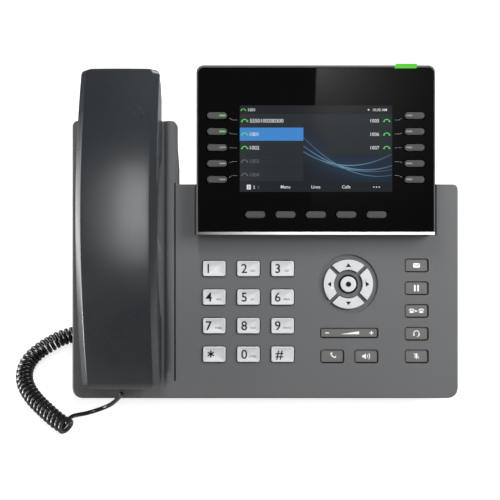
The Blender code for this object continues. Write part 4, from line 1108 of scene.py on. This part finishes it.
@dataclass
class Keypad:
    """Digit keys, call keys, function column, rocker and navigation ring."""

    palette: Palette
    columns: tuple[float, ...] = (-32.7, -10.8, 11.1)
    rows: tuple[float, ...] = (83.2, 64.9, 46.6, 28.3)
    digit_size: tuple[float, float, float] = (14.5, 9.9, 1.4)
    digit_edge: float = 0.6
    digit_dish: float = -0.7
    digit_top: float = 1.3
    function_size: tuple[float, float, float] = (14.3, 7.7, 1.0)
    function_top: float = -0.8
    function_u: float = 97.1
    function_rows: tuple[float, ...] = (85.2, 70.6, 56.0, 41.4, 26.9)
    call_us: tuple[float, float] = (43.0, 64.9)
    rocker: tuple[float, float] = (53.9, 41.9)
    rocker_size: tuple[float, float, float] = (36.3, 5.6, 0.8)
    nav: tuple[float, float] = (53.3, 73.2)
    legends: tuple[tuple[str, str, str, float], ...] = (
        ("1", "1", "", -3.7), ("2", "2", "ABC", -2.65), ("3", "3", "DEF", -3.1),
        ("4", "4", "GHI", -3.4), ("5", "5", "JKL", -2.65), ("6", "6", "MNO", -3.1),
        ("7", "7", "PQRS", -3.4), ("8", "8", "TUV", -2.65), ("9", "9", "WXYZ", -3.1),
        ("star", "*", "", -2.1), ("0", "0", "OPER", -2.65), ("hash", "#", "", -2.0),
    )
    digit_height: float = 5.95
    letter_height: float = 1.3

    def build(self) -> None:
        """Build and dress every key."""
        for index, (name, digit, letters, shift) in enumerate(self.legends):
            place = (self.columns[index % 3], self.rows[index // 3])
            self.digit_key("key_" + name, place, digit, letters, shift)
        icons = (self.envelope, self.pause, self.transfer, self.headset, self.mute)
        names = ("message", "hold", "transfer", "headset", "mute")
        for name, v, icon in zip(names, self.function_rows, icons):
            self.function_key("key_" + name, (self.function_u, v), icon)
        self.function_key("key_send", (self.call_us[0], 26.9), self.receiver)
        self.function_key("key_speaker", (self.call_us[1], 26.9), self.loudspeaker)
        self.volume()
        self.navigation()

    def digit_key(
        self, node: str, place: tuple[float, float], digit: str, letters: str, shift: float,
    ) -> None:
        """Silver dished key with a black digit at its left and small letters at its right."""
        width, height, corner = self.digit_size
        outlines, heights = fillet(width, height, corner, self.digit_edge, CAP_FOOT, self.digit_top, 5)
        piece = Piece(node + "_cap")
        piece.add(cap_skin(outlines, heights, self.digit_dish, 5), "silver_paint", (*place, 0))
        if digit == "*":
            self.star(piece, place, shift)
        else:
            self.legend(piece, lettering(digit, self.digit_height, STROKE), place, (shift, 0.2))
        if letters:
            self.legend(piece, lettering(letters, self.letter_height, 0.0), place, (2.8, -1.3))
        if digit == "5":
            mark = cap_skin(*fillet(2.6, 0.6, 0.28, 0.2, 0.0, 0.3, 3))
            piece.add(mark, "silver_paint", (place[0] + 1.8, place[1] - 4.0, self.digit_top - 0.25))
        piece.build(self.palette, node, "silver_keys", (node,))

    def legend(self, piece: Piece, skin: Skin, place: tuple[float, float], at: tuple[float, float]) -> None:
        """Lay print on the dish of a digit key.

        At the share s of the way from the middle of the key to its rim the dish has risen by
        -dish * s * s.
        """
        points, faces = skin
        flat = np.asarray(points)[:, :2] + np.array(at)
        share = np.max(np.abs(flat) / (np.array(self.digit_size[:2]) / 2 - self.digit_edge), axis=1)
        height = self.digit_top + self.digit_dish * (1 - share**2) + 0.06
        turned = sum(Piece.turn(np.column_stack([flat, height]), face) for face in faces)
        if turned < 0:
            faces = [face[::-1] for face in faces]
        piece.add((np.column_stack([flat, height]), faces), "print_black_and_painted_shade", (*place, 0))

    def star(self, piece: Piece, place: tuple[float, float], shift: float) -> None:
        """Six-armed star of three crossing bars."""
        for angle in (math.pi / 2, math.pi / 6, -math.pi / 6):
            arm = np.array([[math.cos(angle), math.sin(angle)]]) * 2.3
            self.legend(piece, ribbon(np.concatenate([-arm, arm]), 0.85), place, (shift, 0.2))

    def function_key(
        self, node: str, place: tuple[float, float], icon: Callable[[Piece, Place], None],
    ) -> None:
        """Grey key set below the face, with a white icon."""
        width, height, corner = self.function_size
        outlines, heights = fillet(width, height, corner, 0.35, CAP_FOOT, self.function_top - 0.12)
        piece = Piece(node + "_cap")
        piece.add(cap_skin(outlines, heights, 0.1), "key_grey", (*place, 0))
        icon(piece, (*place, self.function_top + FILM_LIFT))
        piece.build(self.palette, node, "grey_keys", (node,))

    def envelope(self, piece: Piece, at: Place) -> None:
        """Message icon: a filled envelope with its flap line."""
        piece.add(sheet(rounded_rectangle(4.4, 2.9, 0.6, 3)), "ink_white", at)
        flap = np.array([(-1.7, 0.95), (0.0, -0.3), (1.7, 0.95)])
        piece.add(ribbon(flap, 0.38), "key_grey", shifted(at, out=0.02))

    def pause(self, piece: Piece, at: Place) -> None:
        """Hold icon: two upright bars."""
        for side in (-1.05, 1.05):
            piece.add(sheet(rounded_rectangle(1.05, 4.1, 0.25, 2)), "ink_white", shifted(at, side))

    def telephone(self, piece: Piece, at: Place) -> None:
        """Small telephone: a body under an arched handset."""
        body = np.array([(-1.35, -1.25), (1.35, -1.25), (1.0, 0.2), (-1.0, 0.2)])
        piece.add(sheet(body), "ink_white", at)
        piece.add(ribbon(arc((0, -0.7), 1.95, 30, 150), 0.55), "ink_white", at)

    def transfer(self, piece: Piece, at: Place) -> None:
        """Transfer icon: two telephones with an arrow between them."""
        for side in (-3.1, 3.1):
            self.telephone(piece, shifted(at, side))
        arrow = np.array([(-1.0, -0.75), (0.9, -0.1), (-1.0, 0.55)])
        piece.add(sheet(arrow), "ink_white", at)

    def headset(self, piece: Piece, at: Place) -> None:
        """Headset icon: a band with two ear pads and a boom."""
        piece.add(ribbon(arc((0, 0.1), 1.75, -20, 200, 16), 0.5), "ink_white", at)
        for side in (-1.65, 1.65):
            pad = sheet(rounded_rectangle(0.85, 1.7, 0.3, 3))
            piece.add(pad, "ink_white", shifted(at, side, -0.6))
        piece.add(ribbon(arc((0.2, -0.9), 1.2, -90, -10, 6), 0.35), "ink_white", at)

    def mute(self, piece: Piece, at: Place) -> None:
        """Mute icon: a microphone with a slash."""
        piece.add(sheet(rounded_rectangle(1.3, 2.6, 0.62, 4)), "ink_white", shifted(at, up=0.6))
        piece.add(ribbon(arc((0, 0.4), 1.35, 190, 350), 0.35), "ink_white", at)
        piece.add(ribbon(np.array([(0.0, -0.9), (0.0, -1.9)]), 0.4), "ink_white", at)
        piece.add(ribbon(np.array([(-1.6, 1.9), (1.6, -1.5)]), 0.4), "ink_white", at)

    def receiver(self, piece: Piece, at: Place) -> None:
        """Call icon: a receiver leaning to the left."""
        lean = math.radians(135)
        shrink = 0.95
        middle = shifted(at, 0.5, 0.5)
        grip, quads = ribbon(arc((0, -2.6), 3.2, 52, 128), 0.8)
        piece.add((turned(grip, lean) * shrink, quads), "ink_white", middle)
        for side in (-1, 1):
            cup, quads = ribbon(np.array([(side * 1.9, -0.95), (side * 1.75, 0.45)]), 1.05)
            piece.add((turned(cup, lean) * shrink, quads), "ink_white", middle)

    def loudspeaker(self, piece: Piece, at: Place) -> None:
        """Loudspeaker icon: a horn with two sound arcs."""
        horn = np.array([(-2.6, -0.75), (-1.6, -0.75), (-0.3, -1.9), (-0.3, 1.9), (-1.6, 0.75), (-2.6, 0.75)])
        piece.add(sheet(horn), "ink_white", at)
        for radius in (1.5, 2.7):
            piece.add(ribbon(arc((-0.5, 0), radius, -42, 42), 0.5), "ink_white", at)

    def volume(self) -> None:
        """Rocker bar with minus, rising wedge and plus."""
        outlines, heights = fillet(*self.rocker_size, 0.4, -3.6, self.function_top - 0.12)
        piece = Piece("volume_rocker_cap")
        piece.add(cap_skin(outlines, heights, 0.1), "key_grey", (*self.rocker, 0))
        at = (*self.rocker, self.function_top + FILM_LIFT)
        piece.add(ribbon(np.array([(-15.3, 0.0), (-12.9, 0.0)]), 0.6), "ink_white", at)
        wedge = np.array([(-5.6, -0.85), (6.4, -0.85), (6.4, 1.05)])
        piece.add(sheet(wedge), "ink_white", at)
        for line in (((13.0, 0.0), (15.6, 0.0)), ((14.3, -1.3), (14.3, 1.3))):
            piece.add(ribbon(np.array(line), 0.6), "ink_white", at)
        piece.build(self.palette, "volume_rocker", "grey_keys", ("volume_rocker",))

    def navigation(self) -> None:
        """Four quarter keys with arrow heads, the centre key and its ring."""
        arrow = np.array([(-1.7, -0.9), (1.7, -0.9), (0.0, 1.35)])
        for quarter, side in enumerate(("right", "up", "left", "down")):
            facing = quarter * math.pi / 2
            outlines = [
                ring_sector(facing, 9.2 + inset, 15.8 - inset, 2.35 + 2 * inset)
                for inset in (0.0, 0.0, 0.1, 0.3)
            ]
            skin = cap_skin(outlines, [CAP_FOOT, 0.15, 0.42, 0.5], 0.06, 3)
            node = "nav_" + side
            piece = Piece(node + "_cap").add(skin, "silver_paint", (*self.nav, 0))
            angle = facing - math.pi / 2
            middle = np.array([math.cos(facing), math.sin(facing)]) * 12.0
            piece.add(sheet(turned(arrow, angle) + middle), "print_black_and_painted_shade", (*self.nav, 0.62))
            piece.build(self.palette, node, "silver_keys", (node,))
        outlines = [circle(radius) for radius in (5.0, 5.0, 4.85, 4.4)]
        skin = cap_skin(outlines, [CAP_FOOT, 0.0, 0.35, 0.5], 0.06)
        piece = Piece("nav_ok_cap").add(skin, "silver_paint", (*self.nav, 0))
        piece.add(sheet(circle(1.7, 24)), "print_black_and_painted_shade", (*self.nav, 0.62))
        piece.build(self.palette, "nav_ok", "silver_keys", ("nav_ok",))


# ------------------------------------------------------------------ handset

@dataclass
class Handset:
    """Arched handset of two shells with ear and mouth cups."""

    palette: Palette
    middle: float = -88.7
    half: float = 23.8
    low: float = 9.85
    high: float = 205.55
    peak_v: float = 115.0
    peak_n: float = 47.4
    drop_low: float = 21.2
    drop_high: float = 18.4
    end_round: float = 3.8
    bevel: float = 3.9
    seam_drop: float = 10.0
    stations: int = 130

    def front(self, v: np.ndarray) -> np.ndarray:
        """Height of the front face: a parabola on each side of the peak."""
        below = self.drop_low * ((self.peak_v - v) / (self.peak_v - self.low)) ** 2
        above = self.drop_high * ((v - self.peak_v) / (self.high - self.peak_v)) ** 2
        return self.peak_n - np.where(v < self.peak_v, below, above)

    def places(self) -> tuple[np.ndarray, np.ndarray]:
        """Stations along v, closer together at the rounded ends, and how far each is shrunk.

        Within end_round of an end the half width is less by r - sqrt(r * r - e * e), where
        e is how far the station has gone into the rounded part.
        """
        radius = self.end_round
        turn = np.linspace(0, math.pi / 2, 9)
        start = self.low + radius * (1 - np.cos(turn))
        end = self.high - radius * (1 - np.cos(turn))[::-1]
        v = np.concatenate([start, np.linspace(start[-1], end[0], self.stations)[1:-1], end])
        depth = np.maximum(np.maximum(self.low + radius - v, v - (self.high - radius)), 0)
        shrink = radius - np.sqrt(np.maximum(radius**2 - depth**2, 0))
        return v, shrink

    def section(self) -> tuple[np.ndarray, np.ndarray, np.ndarray]:
        """Cross-section of the outer shell as share, inset and drop of each point of a ring.

        A point stands at u = share * (half width - inset) and n = front - drop.  The ring goes up
        one side, over a softened chamfer, across the gently crowned face and down again.
        """
        bend = 0.9
        turn = np.linspace(0, math.pi / 4, 5)
        lower_inset = bend * (1 - np.cos(turn)) * 0.9
        lower_drop = self.bevel + 0.9 - bend * np.sin(turn)
        upper_inset = self.bevel + 0.15 - bend * np.sin(math.pi / 4 - turn) * 0.9
        upper_drop = 0.55 + bend * (1 - np.cos(math.pi / 4 - turn))
        side_inset = np.concatenate([[1.0, 0.0, 0.0], lower_inset, upper_inset])
        foot_drop = [self.seam_drop - 0.3, self.seam_drop - 1.2, self.bevel + 2.2]
        side_drop = np.concatenate([foot_drop, lower_drop, upper_drop])
        across = np.linspace(-1, 1, 23)[1:-1]
        share = np.concatenate([-np.ones(len(side_inset)), across, np.ones(len(side_inset))])
        inset = np.concatenate([side_inset, np.full(len(across), self.bevel + 0.15), side_inset[::-1]])
        drop = np.concatenate([side_drop, 0.55 * across**2, side_drop[::-1]])
        return share, inset, drop

    def outer_skin(self) -> Skin:
        """Sweep the cross-section along the arch, shrinking it at both ends."""
        v, shrink = self.places()
        share, inset, drop = self.section()
        half = self.half - shrink[:, None]
        u = self.middle + share[None, :] * (half - inset[None, :])
        lowered = shrink[:, None] * 0.75 * (drop[None, :] < self.bevel + 1)
        n = self.front(v)[:, None] - drop[None, :] - lowered
        return loft(np.stack([u, np.broadcast_to(v[:, None], u.shape), n], axis=-1))

    def underside(self, v: np.ndarray) -> np.ndarray:
        """Height of the inner face: flat cups at both ends and an arched grip between them."""
        knots_v, knots_n = zip(
            (9.8, 12.0), (12.0, 6.0), (14.5, 3.8), (48.0, 3.7), (52.0, 6.5), (58.0, 13.6),
            (70.0, 21.2), (86.0, 26.2), (105.0, 28.0), (124.0, 25.6), (138.0, 19.2), (147.0, 12.2),
            (151.0, 7.0), (155.0, 3.8), (190.0, 3.8), (199.0, 9.2), (205.6, 19.5),
        )
        fine = np.linspace(self.low, self.high, 600)
        height = np.interp(fine, knots_v, knots_n)
        kernel = np.hanning(13)
        height = np.convolve(np.pad(height, 6, mode="edge"), kernel / kernel.sum(), mode="valid")
        return np.interp(v, fine, height)

    def inner_skin(self) -> Skin:
        """Sweep a rounded trough between the seam and the underside."""
        v, shrink = self.places()
        inset_end = 0.7
        length = self.high - self.low
        v = self.low + inset_end + (v - self.low) * (length - 2 * inset_end) / length
        turn = np.linspace(0, math.pi / 2, 7)
        radius = 3.2
        side_inset = np.concatenate([[1.3, 0.35, 0.35], 0.35 + radius * (1 - np.cos(turn))])
        side_rise = np.concatenate([[-0.3, -1.1, -2.4], np.zeros(7)])
        from_seam = np.concatenate([np.ones(3), np.zeros(7)])
        lift = np.concatenate([np.zeros(3), radius * (1 - np.sin(turn))])
        across = np.linspace(-1, 1, 15)[1:-1]
        share = np.concatenate([-np.ones(10), across, np.ones(10)])
        inset = np.concatenate([side_inset, np.full(13, 0.35 + radius), side_inset[::-1]])
        rise = np.concatenate([side_rise, np.zeros(13), side_rise[::-1]])
        seamed = np.concatenate([from_seam, np.zeros(13), from_seam[::-1]])
        raised = np.concatenate([lift, np.zeros(13), lift[::-1]])
        seam = self.front(v) - self.seam_drop
        under = np.minimum(self.underside(v), seam - 3.0)
        half = self.half - 0.3 - shrink * 0.9
        u = self.middle + share[None, :] * (half[:, None] - inset[None, :])
        n = np.where(seamed[None, :] > 0.5, seam[:, None] + rise[None, :], under[:, None] + raised[None, :])
        return loft(np.stack([u, np.broadcast_to(v[:, None], u.shape), n], axis=-1))

    def cup(self, name: str, low: float, high: float) -> None:
        """Rounded cushion under one end, with a pattern of sound holes drawn as black discs of painted shade.
        """
        outlines, heights = fillet(38.6, high - low, 4.0, 1.2, 0.0, 8.4, 5)
        points, faces = cap_skin(outlines, heights, -0.5)
        points[:, 2] = -points[:, 2]
        faces = [face[::-1] for face in faces]
        centre = (self.middle, (low + high) / 2)
        piece = Piece(name).add((points, faces), "handset_charcoal", (*centre, 3.9))
        # The sound holes are black discs: painted shade, not holes.
        for ring, holes in ((0.0, 1), (3.0, 6), (6.0, 12)):
            for hole in range(holes):
                angle = 2 * math.pi * hole / holes
                spot, fan = circle(0.75, 12), [tuple(range(12))[::-1]]
                spot = np.column_stack([spot, np.zeros(12)])
                at = (centre[0] + ring * math.cos(angle), centre[1] + ring * math.sin(angle), -4.62)
                piece.add((spot, fan), "print_black_and_painted_shade", at)
        piece.build(self.palette, "handset", "handset_plastic")

    def build(self) -> None:
        """Build and dress the handset."""
        outer = Piece("handset_outer").add(self.outer_skin(), "handset_charcoal")
        outer.build(self.palette, "handset", "handset_plastic", ("handset_outer_shell",), crease=60)
        inner = Piece("handset_inner").add(self.inner_skin(), "handset_charcoal")
        inner.build(self.palette, "handset", "handset_plastic", ("handset_inner_shell",), crease=60)
        self.cup("ear_cup", 158.2, 175.8)
        self.cup("mouth_cup", 17.2, 48.8)


# ------------------------------------------------------------------ cord

@dataclass
class Cord:
    """Curly handset cord: straight leads and a helix along the coil's axis, one strand."""

    palette: Palette
    radius: float = 1.36
    coil_radius: float = 4.42
    pitch: float = 3.35
    per_turn: int = 20
    sides: int = 12
    coil_route: tuple[tuple[float, float, float], ...] = (
        (-125.5, -16.5, 5.9),
        (-133.9, -10.5, 5.9),
        (-142.6, -2.9, 5.9),
        (-150.8, 5.2, 5.9),
        (-157.4, 14.5, 5.9),
        (-160.3, 24.0, 5.9),
        (-159.2, 33.5, 5.9),
        (-154.4, 41.4, 5.9),
        (-147.0, 48.3, 5.9),
        (-138.4, 53.9, 5.9),
        (-124.0, 58.0, 5.9),
        (-104.0, 58.5, 5.9),
        (-84.0, 56.0, 5.9),
        (-62.0, 53.5, 5.9),
        (-38.0, 52.5, 5.9),
        (-16.0, 54.5, 5.9),
    )
    handset_route: tuple[tuple[float, float, float], ...] = (
        (-90.3, -3.6, 25.4),
        (-91.5, -3.0, 22.0),
        (-94.8, -1.6, 15.0),
        (-99.6, -0.4, 7.4),
        (-104.6, -0.3, 3.2),
        (-110.4, -1.7, 1.6),
        (-115.8, -3.5, 1.5),
        (-120.4, -5.6, 3.2),
        (-123.2, -8.6, 6.6),
    )
    base_route: tuple[tuple[float, float, float], ...] = (
        (-14.2, 54.9, 5.2),
        (-8.0, 57.0, 3.0),
        (-4.5, 62.5, 1.6),
        (-8.0, 68.0, 1.6),
        (-17.0, 70.5, 1.8),
        (-28.0, 70.5, 4.0),
        (-37.0, 69.6, 9.5),
        (-42.6, 68.9, 17.5),
        (-44.8, 68.7, 25.5),
        (-45.0, 68.7, 33.4),
    )

    @staticmethod
    def smooth(route: np.ndarray, spacing: float) -> np.ndarray:
        """Catmull-Rom curve through a route, then evened out to one spacing.

        Args:
            route: points (count, 3).
            spacing: distance between the points that come back.

        Returns:
            Evenly spaced points.
        """
        route = np.asarray(route, dtype=float)
        knots = np.concatenate([[2 * route[0] - route[1]], route, [2 * route[-1] - route[-2]]])
        t = np.linspace(0, 1, 24, endpoint=False)[None, :, None]
        a, b, c, d = (knots[i:len(knots) - 3 + i][:, None, :] for i in range(4))
        square, cube = 2 * a - 5 * b + 4 * c - d, 3 * b - 3 * c + d - a
        spans = 0.5 * (2 * b + (c - a) * t + square * t**2 + cube * t**3)
        dense = np.concatenate([spans.reshape(-1, 3), route[-1:]])
        return Cord.even(dense, spacing)

    @staticmethod
    def even(points: np.ndarray, spacing: float) -> np.ndarray:
        """Points at equal distances along a line."""
        run = np.concatenate([[0], np.cumsum(np.linalg.norm(np.diff(points, axis=0), axis=1))])
        marks = np.linspace(0, run[-1], max(2, int(round(run[-1] / spacing)) + 1))
        return np.stack([np.interp(marks, run, points[:, axis]) for axis in range(3)], axis=1)

    def helix(self) -> np.ndarray:
        """Helix about the coil's axis.

        The axis lies level, so at each point its side is the level normal and its lift is z.
        The strand stands at coil_radius from the axis, at an angle of one turn a pitch.
        """
        step = self.pitch / self.per_turn
        axis = self.smooth(np.array(self.coil_route), step)
        ahead = np.gradient(axis, axis=0)
        ahead /= np.linalg.norm(ahead, axis=1)[:, None]
        side = np.stack([-ahead[:, 1], ahead[:, 0], np.zeros(len(axis))], axis=1)
        side /= np.linalg.norm(side, axis=1)[:, None]
        lift = np.cross(ahead, side)
        angle = 2 * math.pi * np.arange(len(axis)) / self.per_turn + math.pi * 0.55
        return axis + self.coil_radius * (np.cos(angle)[:, None] * side + np.sin(angle)[:, None] * lift)

    @staticmethod
    def bridge(
        start: np.ndarray, start_way: np.ndarray, end: np.ndarray, end_way: np.ndarray, pull: float,
    ) -> np.ndarray:
        """Cubic from start to end that leaves and arrives along the given directions."""
        t = np.linspace(0, 1, 40)[1:-1, None]
        first, second = start + start_way * pull, end - end_way * pull
        return (1 - t) ** 3 * start + 3 * (1 - t) ** 2 * t * first + 3 * (1 - t) * t**2 * second + t**3 * end

    def path(self) -> np.ndarray:
        """Whole strand, from the handset's plug to the base plug."""
        lead = self.smooth(np.array(self.handset_route), 0.8)
        coil = self.helix()
        tail = self.smooth(np.array(self.base_route), 0.8)

        def way(points: np.ndarray, index: int) -> np.ndarray:
            """Unit direction of a line at its start or end."""
            step = points[1] - points[0] if index == 0 else points[-1] - points[-2]
            return step / np.linalg.norm(step)

        into = self.bridge(lead[-1], way(lead, -1), coil[0], way(coil, 0), 3.5)
        tail = tail[6:]
        out = self.bridge(coil[-1], way(coil, -1), tail[0], way(tail, 0), 3.0)
        strand = np.concatenate([lead, into, coil, out, tail])
        strand = self.even(strand, self.pitch * 0.3)
        for _ in range(2):
            strand[1:-1] = (strand[:-2] + 2 * strand[1:-1] + strand[2:]) / 4
        strand[:, 2] = np.maximum(strand[:, 2], self.radius + 0.1)
        return strand

    def skin(self, path: np.ndarray) -> tuple[np.ndarray, Faces, np.ndarray]:
        """Round tube along the path; its ring frame is carried along without twist.

        Each frame normal is the one before it with the part along the new direction taken off.
        """
        ahead = np.gradient(path, axis=0)
        ahead /= np.linalg.norm(ahead, axis=1)[:, None]
        normal = np.zeros_like(path)
        current = np.cross(ahead[0], [0.0, 0.0, 1.0])
        for index, way in enumerate(ahead):
            current = current - way * current.dot(way)
            current = current / np.linalg.norm(current)
            normal[index] = current
        other = np.cross(ahead, normal)
        turn = np.linspace(0, 2 * math.pi, self.sides, endpoint=False)
        rings = path[:, None, :] + self.radius * (
            np.cos(turn)[None, :, None] * normal[:, None, :] + np.sin(turn)[None, :, None] * other[:, None, :]
        )
        points, faces = loft(rings)
        run = np.repeat(np.linspace(0, 1, len(path)), self.sides)
        around = np.tile(np.linspace(0, 1, self.sides, endpoint=False), len(path))
        uv = np.concatenate([np.stack([run, around], axis=1), [[0, 0], [1, 0]]])
        return points, faces, uv

    def build(self) -> bpy.types.Object:
        plugs = [
            refined(self.palette, "handset_plug", "plug_smoke", "handset", 0.2),
            refined(self.palette, "base_plug", "plug_smoke", "base", 0.2),
        ]
        path = self.path()
        points, faces, uv = self.skin(path)
        piece = Piece("handset_cord", Space.DESK).add((points, faces), "cord_jacket")
        mesh_item = self.make(piece, uv)
        world = Space.DESK.to_world(path)
        return mesh_item

    def make(self, piece: Piece, uv: np.ndarray) -> bpy.types.Object:
        """Make the cord's object and hide the CAD cord nodes that it stands for."""
        item = piece.make(self.palette, None, uv)
        start = Space.DESK.to_world(np.array([[-100.0, -17.0, 11.9]]))[0]
        direction = np.array([0.0, -1.0, 3.0]) / math.sqrt(10.0)
        reach = (Space.DESK.to_world(np.array([self.handset_route[0]]))[0] - start).dot(direction)
        end = start + direction * (reach - 0.3 * MM)
        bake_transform(item)
        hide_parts("handset_cord_coil", "handset_cord_lead", "base_cord_lead")
        return item


# ------------------------------------------------------------------ studio

@dataclass(frozen=True)
class Softbox:
    """Rectangular light.

    Args:
        name: its name.
        place: its middle, in face-frame millimetres.
        target: the point that it looks at, in the same space.
        size: width and height in metres.
        power: watts.
        mirrored: whether glossy surfaces show it.
        scattered: whether it lights dull surfaces.
    """

    name: str
    place: tuple[float, float, float]
    target: tuple[float, float, float]
    size: tuple[float, float]
    power: float
    mirrored: bool = True
    scattered: bool = True

    def build(self) -> None:
        """Add the light."""
        data = bpy.data.lights.new(self.name, "AREA")
        data.shape = "RECTANGLE"
        data.size, data.size_y = self.size
        data.energy = self.power
        item = bpy.data.objects.new(self.name, data)
        ends = Space.FACE.to_world(np.array([self.place, self.target]))
        where, target = (Vector(end) for end in ends)
        item.location = where
        item.rotation_euler = (target - where).to_track_quat("-Z", "Y").to_euler()
        item.visible_camera = False
        item.visible_glossy = self.mirrored
        item.visible_diffuse = self.scattered
        bpy.context.scene.collection.objects.link(item)


@dataclass
class Studio:
    """Camera, pale floor, soft lights and the card that the window mirrors."""

    eye: tuple[float, float, float] = (-9.74, 95.1, 520.0)
    lens: float = 58.42
    lights: tuple[Softbox, ...] = (
        Softbox("key_softbox", (460, 260, 400), (20, 90, 0), (0.4, 0.4), 5.4, False),
        Softbox("cord_softbox", (-450, -160, 120), (-150, 0, 0), (0.25, 0.3), 4.0, True, False),
        Softbox("edge_softbox", (-430, 60, -30), (-112, 90, 30), (0.5, 0.06), 0.5, True, False),
        Softbox("left_softbox", (-650, 90, 60), (-80, 90, 20), (0.5, 0.6), 2.8),
        Softbox("back_softbox", (300, 1048, -290), (0, 100, -30), (0.6, 0.6), 5.0),
        Softbox("top_softbox", (-60, 430, 260), (-50, 110, 0), (0.06, 0.2), 1.0, False),
        Softbox("handset_softbox", (-125, 175, 700), (-125, 175, 0), (0.05, 0.4), 0.8),
    )
    floor_glow: float = 0.8
    card_n: float = 700.0
    card_corner: tuple[float, float] = (89.0, 372.0)
    card_foot: tuple[float, float] = (77.0, 100.0)
    card_right: float = 340.0
    card_light: float = 1.9
    card_fade: float = 0.07

    def camera(self) -> None:
        """Camera square to the sloping face."""
        data = bpy.data.cameras.new("camera")
        data.lens = self.lens
        data.sensor_width = 36.0
        data.clip_start = 0.01
        item = bpy.data.objects.new("camera", data)
        item.location = Space.FACE.to_world(np.array([self.eye]))[0]
        item.rotation_euler = (TILT, 0, 0)
        bpy.context.scene.collection.objects.link(item)
        bpy.context.scene.camera = item

    def floor(self) -> None:
        """Wide white floor that glows a little, as a lit sweep does."""
        across, along = np.meshgrid(np.linspace(-4, 4, 9), np.linspace(-4, 4, 9))
        points = np.stack([across.ravel(), along.ravel(), np.full(across.size, -0.0002)], axis=1)
        tree = Tree("floor_white")
        seen = tree.node("ShaderNodeLightPath", {}, {}).outputs["Is Camera Ray"]
        tree.drive("Emission Strength", Value(tree, seen) * self.floor_glow)
        tree.constant(
            Base_Color=(0.45, 0.45, 0.45, 1.0), Roughness=0.9, Specular_IOR_Level=0.1,
            Emission_Color=(1.0, 1.0, 1.0, 1.0),
        )
        self.stage("floor", points, grid_faces(9, 9, False), tree.material)

    def card(self) -> None:
        """Reflector above the camera: its light falls off as exp(-distance / fade) from one corner."""
        (corner_u, corner_v), (foot_u, foot_v) = self.card_corner, self.card_foot
        right = self.card_right
        outline = [(foot_u, foot_v), (corner_u, corner_v), (right, corner_v), (right, foot_v)]
        points = Space.FACE.to_world(np.array([(u, v, self.card_n) for u, v in outline]))
        corner = Space.FACE.to_world(np.array([(corner_u, corner_v, self.card_n)]))[0]
        tree = Tree("card_light")
        span = tree.node("ShaderNodeVectorMath", {"operation": "DISTANCE"}, [tree.place(), tuple(corner)])
        falloff = (Value(tree, span.outputs["Value"]) * (-1.0 / self.card_fade)).math("EXPONENT")
        tree.drive("Emission Strength", falloff * self.card_light)
        tree.constant(Base_Color=(0, 0, 0, 1.0), Emission_Color=(1.0, 1.0, 1.0, 1.0), Specular_IOR_Level=0.0)
        item = self.stage("reflector_card", points, [(0, 1, 2, 3)], tree.material)
        item.visible_camera = False
        item.visible_diffuse = False

    @staticmethod
    def stage(name: str, points: np.ndarray, faces: Faces, material: bpy.types.Material) -> bpy.types.Object:
        """Add a piece of the set."""
        mesh = bpy.data.meshes.new(name)
        mesh.from_pydata(points.tolist(), [], faces)
        mesh.materials.append(material)
        item = bpy.data.objects.new(name, mesh)
        bpy.context.scene.collection.objects.link(item)
        return item

    @staticmethod
    def surroundings() -> None:
        """World light: pale for the eye, and for light dim overhead and brighter at the horizon."""
        world = bpy.data.worlds.new("studio")
        world.use_nodes = True
        nodes, links = world.node_tree.nodes, world.node_tree.links
        place = nodes.new("ShaderNodeTexCoord")
        split = nodes.new("ShaderNodeSeparateXYZ")
        links.new(place.outputs["Generated"], split.inputs[0])
        ramp = nodes.new("ShaderNodeMapRange")
        for index, number in enumerate((-0.1, 0.6, 0.15, 0.05), start=1):
            ramp.inputs[index].default_value = number
        links.new(split.outputs[2], ramp.inputs[0])
        eye = nodes.new("ShaderNodeLightPath")
        seen = nodes.new("ShaderNodeMath")
        seen.operation = "MAXIMUM"
        links.new(eye.outputs["Is Camera Ray"], seen.inputs[0])
        links.new(ramp.outputs[0], seen.inputs[1])
        links.new(seen.outputs[0], nodes["Background"].inputs["Strength"])
        nodes["Background"].inputs["Color"].default_value = (1.0, 1.0, 1.0, 1.0)
        bpy.context.scene.world = world

    def build(self) -> None:
        """Set up the studio."""
        bpy.context.scene.view_settings.view_transform = "Standard"
        self.camera()
        self.floor()
        self.card()
        self.surroundings()
        for light in self.lights:
            light.build()


def main() -> None:
    """Build the studio and every sub-assembly."""
    logging.basicConfig(level=logging.INFO, format="%(message)s")
    palette = Palette()
    Studio().build()
    Cord(palette).build()
    Covers(palette).build()
    Display(palette).build()
    Keypad(palette).build()
    Handset(palette).build()


if __name__ == "__main__":
    main()
